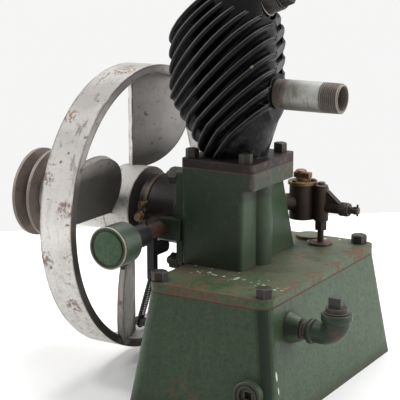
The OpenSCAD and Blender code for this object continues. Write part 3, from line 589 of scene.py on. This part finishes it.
def galvanised_pipe():
    """Dull zinc: blotches and yellowish streaks, brown oxide in the threads at both ends, painted shade on the top and
    the underside, and a bore darkened as painted shade.
    """
    f = Finish("galvanised_steel", ZINC, rough=0.55, metal=0.3)
    f.cloud(50.0, 0.45, 0.2, ZINC_BLOTCH, 0.8, rough=0.6)
    f.cloud(70.0, 0.53, 0.10, ZINC_STREAK, 0.7, stretch=(3, 1, 1), rough=0.6, metal=0.3)
    # Painted shade: darker on top and underneath, so that the pipe looks lightest at its middle
    f.layer(f.use(FACING, vector=(0.0, 0.0, 1.0), Level=0.25, Soft=0.5), ZINC_TOP_SHADE, 0.75)
    f.layer(f.use(FACING, vector=(0.0, 0.2, -0.98), Level=0.0, Soft=0.5), ZINC_UNDER_SHADE, 0.8)
    for end in (0.061, 0.010):
        f.layer(f.use(SPOT, vector=f.along((1, 0, 0)), Centre=(end, 0.0, 0.0), Radius=0.0105, Scale=40.0),
                THREAD_BROWN, 0.8, rough=0.6, metal=0.4)
    f.layer(f.use(CORNER_DARK, Distance=0.002, Gain=1.6), RUST_DARK, 0.8, rough=0.8, metal=0.0)
    # Painted shade: darker where faces within 35 mm hide the sky, as inside the bore
    f.layer(f.use(CORNER_DARK, Distance=0.035, Gain=1.5), BORE_SHADE, 0.85, rough=0.8, metal=0.0)
    return f.done(f.use(CASTING, Scale=150.0, Grain=0.5), bump=0.3, depth=0.0003, round_edge=0.0004)


def porcelain():
    """Glazed white insulator with brown stains, darker at the foot."""
    f = Finish("porcelain", (0.66, 0.62, 0.54), rough=0.14)
    f.cloud(90.0, 0.55, 0.3, (0.36, 0.29, 0.20), 0.5)
    f.layer(f.use(CORNER_DARK, Distance=0.006, Gain=1.4), RUST_DARK, 0.6, rough=0.5)
    return f.done(f.use(CASTING, Scale=60.0, Grain=0.05), bump=0.08)


def gasket_paper():
    """Oil-soaked gasket: red-brown, darker where it has soaked."""
    f = Finish("gasket", (0.040, 0.017, 0.013), rough=0.85)
    f.cloud(80.0, 0.46, 0.2, (0.022, 0.012, 0.010), 0.9)
    return f.done(f.use(CASTING, Scale=200.0, Grain=0.6), bump=0.5, round_edge=0.0002)


FINISHES = {
    "green_paint": painted("green_paint"),
    "can_paint": painted("can_paint", base=(0.030, 0.072, 0.031), rust=0.74, dirt=0.3, grime=0.8, shine=0.3),
    "gasket": gasket_paper(),
    "black_iron": black_iron(),
    "galvanised_steel": galvanised_pipe(),
    "dark_steel": bare_metal("dark_steel", (0.019, 0.017, 0.016), (0.008, 0.007, 0.007), 0.38, 0.5, rust=0.62),
    "porcelain": porcelain(),
    "aged_brass": bare_metal("aged_brass", (0.17, 0.105, 0.050), (0.055, 0.036, 0.022), 0.42, 0.7, rust=0.56,
                             edge=(0.40, 0.29, 0.15), rust_colour=(0.05, 0.033, 0.023)),
    "black_steel": bare_metal("black_steel", (0.010, 0.010, 0.011), (0.005, 0.005, 0.005), 0.45, 0.1, rust=0.70,
                              edge=(0.05, 0.05, 0.05), shine=0.35),
    "rusty_steel": bare_metal("rusty_steel", (0.082, 0.040, 0.024), (0.032, 0.021, 0.016), 0.6, 0.2, rust=0.54),
    "brown_steel": bare_metal("brown_steel", (0.036, 0.022, 0.018), (0.015, 0.011, 0.010), 0.42, 0.3, rust=0.60),
    "silver_paint": silver_paint(),
}
CASE_FINISH = case_paint()
FITTING_FINISH = painted("fitting_paint", base=(0.020, 0.031, 0.019), rust=0.64, light=0.15, edge=(0.14, 0.13, 0.10))
PULLEY_FINISH = bare_metal("pulley_iron", (0.185, 0.147, 0.130), (0.090, 0.068, 0.060), 0.5, 0.25, rust=0.62,
                           edge=(0.55, 0.50, 0.42))
BOLT_FINISH = bare_metal("bolt_steel", (0.027, 0.025, 0.019), (0.013, 0.012, 0.010), 0.5, 0.3, rust=0.58)
RING_FINISH = bare_metal("timer_brass", (0.065, 0.047, 0.026), (0.020, 0.016, 0.012), 0.45, 0.5, rust=0.60,
                         edge=(0.30, 0.22, 0.11))
BRIGHT_FINISH = bare_metal("worn_rim", (0.34, 0.31, 0.26), (0.15, 0.13, 0.10), 0.35, 0.7, rust=0.62)
CAN_FINISH = painted("can_body_paint", base=(0.016, 0.034, 0.018), rust=0.70, dirt=0.5, shine=0.9)
PLUG_FINISH = painted("plug_paint", base=(0.034, 0.032, 0.026), rust=0.52, edge=(0.14, 0.13, 0.10))
# Lighter grey for the painted highlight along the fins' edges
FIN_HIGHLIGHT_FINISH = bare_metal("painted_fin_highlight", (0.105, 0.103, 0.104), (0.045, 0.044, 0.046), 0.5, 0.0, rust=0.70)

NODE_FINISHES = {
    "fuel_tank": tank_paint(), "tank_lid": lid_paint(), "crankcase": CASE_FINISH, "bearing_cover": CASE_FINISH,
    "filler_elbow": FITTING_FINISH, "filler_plug": PLUG_FINISH, "filler_nipple": FITTING_FINISH,
    "drain_plug": PLUG_FINISH, "round_can": CAN_FINISH, "pulley": PULLEY_FINISH, "timer_ring": RING_FINISH,
}
for row in frame["record"]["subparts"]:
    target = frame["nodes"][row["node"]]
    target.data.materials.clear()
    target.data.materials.append(NODE_FINISHES.get(row["node"], FINISHES[row["material_slot"]]))


# Fins: a round bead along the edge of each, with a thin grey line on it as a painted highlight. Sizes as in the
# cylinder's solid

FIN_R = 49.5 * MM
FIN_PITCH = 13.95 * MM
FIN_FIRST = 2.3 * MM
FIN_COUNT = 12
FIN_SLOPE = math.radians(47.5)
SHOULDER_R = 44.5 * MM
FOOT_Z = 195.0 * MM
FOOT_T = 7.0 * MM
CROWN_Z = 348.5 * MM
NECK_R, NECK_H = 31.0 * MM, 56.0 * MM
STRIP_HALF = 8.5 * MM
PORT_R, PORT_Y = 23.0 * MM, -0.5 * MM
PORT_LEAN = math.radians(19)
PORT_AXIS = np.array([math.sin(PORT_LEAN), 0.0, math.cos(PORT_LEAN)])
EXHAUST_Y, EXHAUST_Z, BOSS_R = 3.0 * MM, 258.0 * MM, 17.85 * MM
PLUG_SEAT = np.array([-7.0, -4.0, 334.0]) * MM
PLUG_TILT = math.radians(22)
PLUG_AXIS = np.array([math.cos(PLUG_TILT), 0.0, math.sin(PLUG_TILT)])
PLUG_ROOM = 16.5 * MM
BOSS_GAP, FOOT_GAP = 1.5 * MM, 0.5 * MM
BEAD_INSET, BEAD_SINK = 0.7 * MM, 9.0 * MM
FIN_REACH = 0.2


def in_fin_space(p):
    """Whether points lie in the space that the fins fill: a domed cylinder cut by the widening neck."""
    x, y, z = p[..., 0], p[..., 1], p[..., 2]
    r = np.hypot(x - CYLINDER_X + FIN_SHIFT, y - CYLINDER_Y)
    rise = np.clip(z - (CROWN_Z - SHOULDER_R), 0, None)
    out = np.clip(r - (FIN_R - SHOULDER_R), 0, None)
    dome = np.where(rise > 0, np.hypot(out, rise) <= SHOULDER_R, r <= FIN_R)
    flare = (FIN_R + FIN_SHIFT - NECK_R) / NECK_H
    neck = np.hypot(x - CYLINDER_X, y - CYLINDER_Y) <= NECK_R + flare * (z - FOOT_Z - FOOT_T)
    return dome & neck & (z >= FOOT_Z + FOOT_T)


def off_axis(p, start, axis):
    """Distance of points from a line."""
    gap = p - start
    return np.linalg.norm(gap - (gap @ axis)[..., None] * axis, axis=-1)


def fin_cut_away(p):
    """Where a fin's edge is missing: at the upright slot, the exhaust port and boss, the plug and the foot."""
    x, y, z = p[..., 0], p[..., 1], p[..., 2]
    ahead = x > CYLINDER_X
    slot = np.abs(y - EXHAUST_Y) < STRIP_HALF
    port = (off_axis(p, (CYLINDER_X, PORT_Y, FOOT_Z + FOOT_T), PORT_AXIS) < PORT_R) & (z < EXHAUST_Z)
    boss = np.hypot(y - EXHAUST_Y, z - EXHAUST_Z) < BOSS_R + BOSS_GAP
    plug = off_axis(p, PLUG_SEAT, PLUG_AXIS) < PLUG_ROOM
    return ahead & (slot | port | boss | plug) | (z < FOOT_Z + FOOT_T + FOOT_GAP)


def fin_edge(level, steps=260, halvings=34, samples=641):
    """Line along one fin's edge: in the fin's sloping plane, the point at angle a is centre + t(a) (cos a, sin a).

    t(a) is found by halving between the middle and outside; where the fin is cut away the line sinks into the
    barrel. Returns the line and its outward directions."""
    along = np.array([math.cos(FIN_SLOPE), 0, math.sin(FIN_SLOPE)])
    across = np.array([0, 1.0, 0])
    start = np.array([CYLINDER_X - FIN_SHIFT, CYLINDER_Y, level])
    reach = np.linspace(-0.8 * FIN_REACH, 0.8 * FIN_REACH, samples)
    inside = reach[in_fin_space(start + reach[:, None] * along)]
    centre = start + 0.5 * (inside[0] + inside[-1]) * along
    a = np.linspace(0, TURN, steps, endpoint=False)
    ray = np.cos(a)[:, None] * along + np.sin(a)[:, None] * across
    near, far = np.zeros(steps), np.full(steps, FIN_REACH)
    for _ in range(halvings):
        half = 0.5 * (near + far)
        within = in_fin_space(centre + half[:, None] * ray)
        near, far = np.where(within, half, near), np.where(within, far, half)
    drop = np.where(fin_cut_away(centre + near[:, None] * ray), BEAD_SINK, 0.0)
    drop = (np.roll(drop, 1) + drop + np.roll(drop, -1)) / 3
    return centre + np.clip(near - BEAD_INSET - drop, 1 * MM, None)[:, None] * ray, ray


BEAD_R, HIGHLIGHT_R = 2.15 * MM, 0.45 * MM
HIGHLIGHT_OUT, HIGHLIGHT_UP = 1.75 * MM, 0.95 * MM
FIN_UP = np.array([-math.sin(FIN_SLOPE), 0, math.cos(FIN_SLOPE)])
fin_levels = FOOT_Z + FIN_FIRST + FIN_PITCH * np.arange(FIN_COUNT)
fin_lines = [fin_edge(level) for level in fin_levels]
piece("fin_edges", [tube(line, BEAD_R, 10, closed=True) for line, ray in fin_lines], "frame",
      "black_iron", sharp_deg=80)
# Painted highlight: a thin lighter tube on the upper outer side of each bead, where its edge catches the light
piece("fin_highlight_lines", [tube(line + HIGHLIGHT_OUT * ray + HIGHLIGHT_UP * FIN_UP, HIGHLIGHT_R, 8, closed=True)
                   for line, ray in fin_lines], "frame", "black_iron", FIN_HIGHLIGHT_FINISH, sharp_deg=80)


# Fasteners

HEAD_CHAMFER, NUT_CHAMFER = 0.55, 0.5
STUD_SHARE = 0.27


def bolts(name, places, axis, flats, height, stud=0.0):
    """Bolt heads on a face: each a chamfered hexagon turned its own way, with a stud's end through it if asked."""
    first_turn, next_turn = 0.35, 1.7
    parts = []
    for k, place in enumerate(places):
        parts.append(placed(hexagon(flats, height, HEAD_CHAMFER), place, axis, first_turn + next_turn * k))
        if stud:
            r, top = STUD_SHARE * flats, height + stud
            end = [(0, 0), (r, 0), (r, top - 0.25 * r), (0.8 * r, top), (0, top)]
            parts.append(placed(revolved(end, 32), place, axis))
    piece(name, parts, "frame", "dark_steel", BOLT_FINISH)


def middle(node):
    """Middle of a node's box."""
    low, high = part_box(node)
    return (low + high) / 2


LID_BOLT_IN, LID_BOLT_SHIFT = 8.0 * MM, 5.5 * MM
LID_BOLT_FLATS, LID_BOLT_H = 13.0 * MM, 8.5 * MM
lid_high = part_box("tank_lid")[1]
lid_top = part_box("pipe_washer")[0].z
lid_x, lid_y = lid_high.x - LID_BOLT_IN, lid_high.y - 1.2 * LID_BOLT_IN
lid_places = [(-lid_x, -lid_y, lid_top), (lid_x, -lid_y, lid_top),
              (-lid_x + LID_BOLT_SHIFT, lid_y, lid_top), (lid_x - LID_BOLT_SHIFT, lid_y, lid_top)]
bolts("lid_bolts", lid_places, (0, 0, 1), LID_BOLT_FLATS, LID_BOLT_H)

FOOT_BOLT_LEFT, FOOT_BOLT_RIGHT, FOOT_BOLT_IN = 7.5 * MM, 11.0 * MM, 8.5 * MM
FOOT_BOLT_FLATS, FOOT_BOLT_H = 10.5 * MM, 8.5 * MM
gasket_low, gasket_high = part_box("cylinder_gasket")
foot_places = [(x, y, FOOT_Z + FOOT_T)
               for x in (gasket_low.x + FOOT_BOLT_LEFT, gasket_high.x - FOOT_BOLT_RIGHT)
               for y in (gasket_low.y + FOOT_BOLT_IN, gasket_high.y - FOOT_BOLT_IN)]
bolts("foot_bolts", foot_places, (0, 0, 1), FOOT_BOLT_FLATS, FOOT_BOLT_H)

# The bearing cover's plate, which its nuts hold
COVER_X = -70.0 * MM
COVER_FRONT, COVER_REAR = -42.0 * MM, 34.0 * MM
COVER_BOTTOM, COVER_TOP = 101.0 * MM, 191.0 * MM
COVER_NUT_IN, COVER_NUT_FLATS, COVER_NUT_H, COVER_STUD = 7.0 * MM, 14.0 * MM, 9.0 * MM, 4.0 * MM
cover_y = (COVER_FRONT + COVER_NUT_IN, COVER_REAR - COVER_NUT_IN)
cover_z = (COVER_BOTTOM + 0.6 * COVER_NUT_IN, COVER_TOP - COVER_NUT_IN)
bolts("cover_nuts", [(COVER_X, y, z) for y in cover_y for z in cover_z], (-1, 0, 0),
      COVER_NUT_FLATS, COVER_NUT_H, stud=COVER_STUD)


# Exhaust nipple with its pipe threads

NIPPLE_CHAMFER = 1.0 * MM
NIPPLE_WALL = 2.9 * MM
NIPPLE_THREAD = 19.0 * MM
NIPPLE_SEAT = 12.0 * MM


def pipe_nipple(length, outer_r, bore_r, thread_l, seat, cone=0.012, turns=72, steps=7):
    """Threaded pipe about local Z: outside r = R - depth * tooth(z / pitch - a / turn) * window - taper.

    tooth is a rounded triangle wave; window is 1 within thread_l of the open end and of the boss, and fades over
    one pitch. Inside the boss, z < seat, the thread is at its root."""
    rows = int(length / PIPE_PITCH * steps)
    z = np.linspace(0, length, rows)[:, None]
    a = np.linspace(0, TURN, turns, endpoint=False)[None, :]
    from_end = np.minimum(np.clip(z - seat, 0, None) + 0.55 * thread_l, length - z)
    window = np.clip((thread_l - from_end) / PIPE_PITCH, 0, 1)
    phase = (z / PIPE_PITCH - a / TURN) % 1.0
    tooth = np.clip(np.abs(2 * phase - 1) * 1.25 - 0.1, 0, 1)
    chamfer = np.clip(NIPPLE_CHAMFER - (length - z), 0, None)
    r = outer_r - PIPE_THREAD_DEPTH * tooth * window - cone * np.clip(thread_l - from_end, 0, None) - chamfer
    r = np.where(z < seat, np.minimum(r, outer_r - PIPE_THREAD_DEPTH), r)
    wall = np.stack([r * np.cos(a), r * np.sin(a), np.broadcast_to(z, r.shape)], -1)
    inner = np.array([(bore_r + 0.6 * MM, length), (bore_r, length - 0.8 * MM), (bore_r, 0.0)])
    bore = np.stack([inner[:, 0:1] * np.cos(a), inner[:, 0:1] * np.sin(a),
                     np.broadcast_to(inner[:, 1:2], (3, turns))], -1)
    points = np.concatenate([wall, bore])
    return points.reshape(-1, 3), grid_faces(rows + 3, turns, True, True)


nipple_low, nipple_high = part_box("exhaust_nipple")
nipple_r = (nipple_high.z - nipple_low.z) / 2
nipple = pipe_nipple(nipple_high.x - nipple_low.x, nipple_r, nipple_r - NIPPLE_WALL, NIPPLE_THREAD, NIPPLE_SEAT)
piece("threaded_nipple", [placed(nipple, (nipple_low.x, EXHAUST_Y, EXHAUST_Z), (1, 0, 0))], "frame",
      "galvanised_steel", sharp_deg=50, replaces=["exhaust_nipple"])


# Spring between the control lever and the tank

def coil_spring(foot, top, coil_r, wire, pitch, steps=18, hook_turns=0.8, hook_grip=0.12):
    """Close-wound spring from foot to top: a helix about their line, whose ends turn in to hooks on that line.

    The point at turn t is foot + t * pitch along the line, plus coil_r * grip(t) (cos, sin) across it."""
    foot, top = np.asarray(foot, float), np.asarray(top, float)
    line = top - foot
    length = np.linalg.norm(line)
    line /= length
    side = np.array([1.0, 0, 0])
    other = np.cross(line, side)
    turns = length / pitch
    t = np.linspace(0, turns, int(turns * steps))
    grip = np.clip(np.minimum(t, turns - t) / hook_turns, hook_grip, 1)[:, None]
    a = TURN * t[:, None]
    path = foot + (t * pitch)[:, None] * line + coil_r * grip * (np.cos(a) * side + np.sin(a) * other)
    return tube(path, wire, 8)


LUG_R, EYE_RISE = 4.0 * MM, 3.5 * MM
SPRING_R, SPRING_WIRE, SPRING_PITCH = 2.5 * MM, 0.75 * MM, 1.62 * MM
EYE_R, EYE_WIRE, EYE_DROP = 3.1 * MM, 0.7 * MM, 2.2 * MM
HOOK_R, HOOK_WIRE = 5.0 * MM, 0.8 * MM
lug = middle("link_lug")
lever_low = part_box("control_lever")[0]
can_x = middle("can_cap").x
eye = (can_x, lever_low.y + EYE_RISE, lever_low.z + 1.5 * EYE_RISE)
hook = (can_x, lug.y, lug.z + 0.6 * LUG_R)
piece("lever_spring", [coil_spring(hook, eye, SPRING_R, SPRING_WIRE, SPRING_PITCH),
                       placed(ring(EYE_R, EYE_WIRE), (can_x, eye[1], eye[2] - EYE_DROP), (0.2, 1, 0.3)),
                       placed(ring(HOOK_R, HOOK_WIRE), (can_x, lug.y, lug.z), (1, 0, 0))],
      "frame", "black_steel", sharp_deg=60, replaces=["lever_link"])


# Round can: worn rim, pressed disc on the cap, and a drain screw underneath

CAN_RIM_IN, CAN_RIM_WIRE = 0.4 * MM, 0.6 * MM
CAN_SCREW_BACK, CAN_SCREW_SINK = 22.0 * MM, 0.8 * MM
CAN_NUT_FLATS, CAN_NUT_H, CAN_NUT_SINK = 7.0 * MM, 2.6 * MM, 0.5 * MM
cap_low, cap_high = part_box("can_cap")
can_r = (cap_high.x - cap_low.x) / 2
can_z = middle("can_cap").z
cap_centre = (can_x, cap_low.y, can_z)
piece("can_rim", [placed(ring(can_r - CAN_RIM_IN, CAN_RIM_WIRE), cap_centre, (0, -1, 0))],
      "frame", "can_paint", BRIGHT_FINISH, sharp_deg=80)
cap_disc = [(0, -1.0), (14.2, -1.0), (14.2, 0.1), (13.7, 0.5), (12.9, 0.65), (0, 0.65)]
piece("can_pressing", [placed(turned(cap_disc, 96), cap_centre, (0, -1, 0))],
      "frame", "can_paint", sharp_deg=50)
screw_y, can_bottom = cap_low.y + CAN_SCREW_BACK, can_z - can_r
screw = [(0, -1.0), (3.2, -1.0), (3.2, 2.6), (2.2, 3.4), (2.2, 5.2), (1.6, 5.8), (0, 5.8)]
piece("can_screw", [placed(turned(screw, 32), (can_x, screw_y, can_bottom + CAN_SCREW_SINK), (0, 0, -1)),
                    placed(hexagon(CAN_NUT_FLATS, CAN_NUT_H, NUT_CHAMFER),
                           (can_x, screw_y, can_bottom + CAN_NUT_SINK), (0, 0, -1), 0.4)],
      "frame", "dark_steel", BOLT_FINISH)


# Timer: nuts on the terminal and the strip, a contact strip, and a loop of wire

STRIP_R, WIRE_R = 1.7 * MM, 0.8 * MM
LOOP_R, LOOP_PITCH, LOOP_TURNS = 4.2 * MM, 1.2 * MM, 2.2
TERMINAL_NUT_FLATS, TERMINAL_NUT_H, TERMINAL_NUT_BACK = 8.5 * MM, 3.2 * MM, 3.6 * MM
STRIP_NUT_FLATS, STRIP_NUT_H = 6.0 * MM, 3.5 * MM
KNURL_BACK, KNURL_DEPTH = 0.5 * MM, 0.4 * MM
terminal = middle("timer_terminal")
tip = np.array([terminal.x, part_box("timer_terminal")[0].y, terminal.z])
strip = tip + np.array([(1, 13, 11), (0, 8, 9), (-1, 4, 5), (-1, 2, 0), (0, 4, -5)]) * MM
strip_nut_at = tip + np.array([-1, 8, 9]) * MM
loop_at = tip + np.array([2, 7, 1]) * MM
a = np.linspace(0, LOOP_TURNS * TURN, 90)
loop = loop_at + np.stack([LOOP_PITCH * a / TURN, LOOP_R * np.cos(a), LOOP_R * np.sin(a)], -1)
knurled = [(0, 0), (3.6, 0), (3.6, 3.0), (2.8, 3.8), (0, 3.8)]
piece("timer_nuts",
      [placed(hexagon(TERMINAL_NUT_FLATS, TERMINAL_NUT_H, NUT_CHAMFER), tip + (0, TERMINAL_NUT_BACK, 0),
              (0, -1, 0), 0.3),
       placed(turned(knurled, 80, 20, KNURL_DEPTH), tip + (0, KNURL_BACK, 0), (0, -1, 0)),
       placed(hexagon(STRIP_NUT_FLATS, STRIP_NUT_H, NUT_CHAMFER), strip_nut_at, (-0.5, -0.8, 0.3))],
      "frame", "aged_brass")
piece("timer_strip", [tube(strip, STRIP_R, 10)], "frame", "aged_brass", RING_FINISH)
piece("timer_wire", [tube(loop, WIRE_R, 8)], "frame", "black_steel", sharp_deg=80)


# Filler: cast bend with a banded arm and collar, threads between boss and bend, a fibre washer under the plug

def pipe_bend(start, middle_x, top, arm_r, barrel_r, bend):
    """Cast bend in the XZ plane: an arm along +X, a quarter circle, then a barrel up to top.

    The section's radius grows from arm_r to barrel_r by a smooth step over the quarter circle."""
    t = np.linspace(0, 1, 25)
    turn = 0.5 * math.pi * t
    arm = np.linspace(start.x, middle_x - bend, 5)[:-1]
    barrel = np.linspace(start.z + bend, top, 5)[1:]
    x = np.concatenate([arm, middle_x - bend + bend * np.sin(turn), np.full(4, middle_x)])
    z = np.concatenate([np.full(4, start.z), start.z + bend - bend * np.cos(turn), barrel])
    grow = np.concatenate([np.zeros(4), t * t * (3 - 2 * t), np.ones(4)])
    return tube(np.stack([x, np.full(len(x), start.y), z], -1), arm_r + (barrel_r - arm_r) * grow, 40)


filler_low, filler_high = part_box("filler_elbow")
filler_axis = middle("filler_nipple")
plug_mid = middle("filler_plug")
plug_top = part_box("filler_plug")[1].z
arm_start = Vector((filler_low.x, filler_axis.y, filler_axis.z))
ARM_R, BARREL_R, BEND_R, BARREL_SHORT = 9.2 * MM, 11.8 * MM, 12.5 * MM, 1.0 * MM
COLLAR_H = 6.4 * MM
collar = [(0, 0), (12.2, 0), (13.0, 0.8), (13.0, 5.6), (12.4, 6.4), (0, 6.4)]
band = [(0, 0), (9.8, 0), (10.6, 0.7), (10.6, 4.0), (9.9, 4.8), (0, 4.8)]
piece("filler_bend",
      [pipe_bend(arm_start, plug_mid.x, filler_high.z - BARREL_SHORT, ARM_R, BARREL_R, BEND_R),
       placed(turned(collar, 56), (plug_mid.x, plug_mid.y, filler_high.z - COLLAR_H), (0, 0, 1)),
       placed(turned(band, 56), arm_start, (1, 0, 0))],
      "frame", "green_paint", FITTING_FINISH, sharp_deg=50, replaces=["filler_elbow"])
THREAD_L, THREAD_R, THREAD_RISE, THREAD_TURNS = 7.0 * MM, 7.4 * MM, 0.8 * MM, 3.5
z = np.linspace(0, THREAD_L, 48)
thread = np.stack([THREAD_R + THREAD_RISE * np.abs(np.sin(math.pi * THREAD_TURNS * z / THREAD_L)), z], -1)
thread = np.concatenate([[(0, 0)], thread, [(0, THREAD_L)]])
piece("filler_thread", [placed(revolved(thread, 56), arm_start - Vector((THREAD_L, 0, 0)), (1, 0, 0))],
      "frame", "brown_steel", sharp_deg=60)
PLUG_SIT = 14.0 * MM
fibre = [(0, 0), (10.0, 0), (10.4, 0.5), (10.4, 1.0), (9.9, 1.5), (0, 1.5)]
piece("filler_washer", [placed(turned(fibre, 56), (plug_mid.x, plug_mid.y, plug_top - PLUG_SIT), (0, 0, 1))],
      "frame", "rusty_steel")


# Drain: a raised lip round the boss and a ring round its plug

drain = middle("drain_plug")
DRAIN_RECESS = 2.0 * MM
drain_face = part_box("drain_plug")[0].y - DRAIN_RECESS
DRAIN_RINGS = ((11.4 * MM, 1.3 * MM), (8.3 * MM, 1.1 * MM))
piece("drain_rings", [placed(ring(r, wire), (drain.x, drain_face, drain.z), (0, -1, 0)) for r, wire in DRAIN_RINGS],
      "frame", "green_paint", PLUG_FINISH, sharp_deg=80)


# Spark plug: bright gasket rings and turned grooves on the gland

def on_plug(part, along):
    """Places a part on the spark plug's axis."""
    return placed(part, PLUG_SEAT + along * PLUG_AXIS, PLUG_AXIS)


PLUG_RINGS = ((11.6 * MM, 1.1 * MM, 1.2 * MM), (10.9 * MM, 0.7 * MM, 6.9 * MM))
piece("plug_rings", [on_plug(ring(r, wire), along) for r, wire, along in PLUG_RINGS],
      "frame", "dark_steel", BRIGHT_FINISH, sharp_deg=80)
GROOVE_R, GROOVE_RISE, GROOVE_PITCH, GROOVE_START, GROOVES = 10.0, 0.55, 1.3, 7.6, 10
grooves = [(0, 7.0)]
for k in range(GROOVES):
    foot = GROOVE_START + GROOVE_PITCH * k
    grooves += [(GROOVE_R, foot), (GROOVE_R + GROOVE_RISE, foot + GROOVE_PITCH / 2)]
grooves.append((0, 21.0))
piece("plug_grooves", [on_plug(turned(grooves, 64), 0.0)],
      "frame", "dark_steel", sharp_deg=60)


# Mixer: knurled packing nut, needle handle, screws in the cap and a tickler on top

needle_low, needle_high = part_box("needle_valve")
needle = middle("needle_valve")
PIN_R, PIN_DOWN, PIN_UP = 1.0 * MM, 5.0 * MM, 6.0 * MM
PACKING_KNURL, PACKING_SINK = 0.7 * MM, 0.2 * MM
HANDLE_KNURL, HANDLE_SINK = 0.9 * MM, 4.0 * MM
packing = [(0, 0), (6.3, 0), (6.5, 0.6), (6.5, 7.6), (6.0, 8.6), (3.6, 9.2), (3.4, 12.0), (0, 12.0)]
handle = [(0, 0), (3.5, 0), (3.8, 0.8), (3.8, 4.6), (3.2, 5.4), (0, 5.4)]
piece("needle_grip",
      [placed(turned(packing, 120, 24, PACKING_KNURL), (needle_low.x - PACKING_SINK, needle.y, needle.z), (1, 0, 0)),
       placed(turned(handle, 72, 12, HANDLE_KNURL), (needle_high.x - HANDLE_SINK, needle.y, needle.z), (1, 0, 0)),
       tube([(needle_high.x, needle.y, needle.z - PIN_DOWN), (needle_high.x, needle.y, needle.z + PIN_UP)], PIN_R, 12)],
      "frame", "brown_steel")

cap_mid = middle("mixer_cap")
cap_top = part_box("mixer_cap")[1].z
body_mid = middle("mixer_body")
body_low, body_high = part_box("mixer_body")
SCREW_CIRCLE = 10.5 * MM
SCREW_ANGLES = [0.2 + k * TURN / 3 for k in range(3)]
dome = [(0, 0), (2.6, 0), (2.6, 1.2), (1.9, 2.1), (0.8, 2.5), (0, 2.6)]
screws = [placed(turned(dome, 28),
                 (cap_mid.x + SCREW_CIRCLE * math.cos(a), cap_mid.y + SCREW_CIRCLE * math.sin(a), cap_top), (0, 0, 1))
          for a in SCREW_ANGLES]
BODY_R, TICKLER_SHIFT = 7.0 * MM, 2.0 * MM
nut_cap = [(0, 0), (6.2, 0), (6.2, 2.4), (4.6, 3.2), (3.6, 3.4), (3.6, 5.0), (2.8, 5.6), (0, 5.6)]
screws.append(placed(turned(nut_cap, 48), (body_low.x + BODY_R, body_mid.y, body_high.z), (0, 0, 1)))
piece("mixer_screws", screws, "frame", "brown_steel")
knob_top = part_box("mixer_knob")[1].z
tickler = [(0, -1.0), (5.2, -1.0), (5.6, 0.2), (5.0, 1.8), (3.2, 2.6), (0, 2.9)]
piece("mixer_tickler", [placed(turned(tickler, 48), (cap_mid.x - TICKLER_SHIFT, cap_mid.y, knob_top), (0, 0, 1))],
      "frame", "aged_brass")


# Stage

def lamp(name, place, aim, size, power):
    """A square soft light that faces a point."""
    data = bpy.data.lights.new(name, "AREA")
    data.shape, data.size, data.energy = "SQUARE", size, power
    made = bpy.data.objects.new(name, data)
    bpy.context.scene.collection.objects.link(made)
    made.location = place
    made.rotation_euler = (Vector(aim) - Vector(place)).to_track_quat("-Z", "Y").to_euler()


def pale_floor(near=3.0, past=4.0):
    """A pale floor that ends along a line behind the object, where the backdrop starts."""
    left, right = Vector(FLOOR_FAR_LEFT), Vector(FLOOR_FAR_RIGHT)
    run = (right - left).normalized()
    back = Vector((run.y, -run.x))
    far_left, far_right = left - past * run, right + past * run
    corners = [far_left, far_left + (near + past) * back, far_right + (near + past) * back, far_right]
    mesh = bpy.data.meshes.new("floor")
    mesh.from_pydata([(c.x, c.y, 0.0) for c in corners], [], [(0, 1, 2, 3)])
    floor = bpy.data.objects.new("floor", mesh)
    bpy.context.scene.collection.objects.link(floor)
    m = bpy.data.materials.new("floor_white")
    m.use_nodes = True
    shader = m.node_tree.nodes["Principled BSDF"]
    shader.inputs["Base Color"].default_value = FLOOR_WHITE
    shader.inputs["Roughness"].default_value = 0.9
    shader.inputs["Specular IOR Level"].default_value = 0.0
    mesh.materials.append(m)


def backdrop(light, seen):
    """White world: cameras, mirrors and glass see one level, the object is lit by another."""
    world = bpy.data.worlds.new("backdrop")
    bpy.context.scene.world = world
    world.use_nodes = True
    tree = world.node_tree
    back = tree.nodes["Background"]
    rays = put(tree, "ShaderNodeLightPath")
    shows = sums(tree, "MAXIMUM", sums(tree, "MAXIMUM", rays.outputs["Is Camera Ray"], rays.outputs["Is Glossy Ray"]),
                 rays.outputs["Is Transmission Ray"])
    level = sums(tree, "ADD", light, sums(tree, "MULTIPLY", shows, seen - light))
    back.inputs["Color"].default_value = (1, 1, 0.995, 1)
    tree.links.new(level, back.inputs["Strength"])


pale_floor()
backdrop(light=0.23, seen=0.915)
AIM = (-0.03, 0.0, 0.17)
LAMPS = (("key_right", (1.7, 0.7, 1.0), 1.2, 42), ("top_back", (-0.2, 0.8, 2.1), 1.6, 50),
         ("left_side", (-1.9, -0.5, 1.0), 1.2, 36), ("top_left", (-0.75, -0.5, 1.6), 0.3, 8))
for lamp_name, lamp_place, lamp_size, watts in LAMPS:
    lamp(lamp_name, lamp_place, AIM, lamp_size, watts)

camera_data = bpy.data.cameras.new("camera")
camera_data.sensor_width = SENSOR_MM
camera_data.lens = FOCAL_PX * SENSOR_MM / IMAGE_PX
camera_data.dof.use_dof = False
camera = bpy.data.objects.new("camera", camera_data)
camera.location = CAMERA_PLACE
camera.rotation_euler = (math.pi / 2 - CAMERA_ELEVATION, 0, CAMERA_AZIMUTH)
bpy.context.scene.collection.objects.link(camera)
bpy.context.scene.camera = camera
bpy.context.scene.view_settings.view_transform = "Standard"
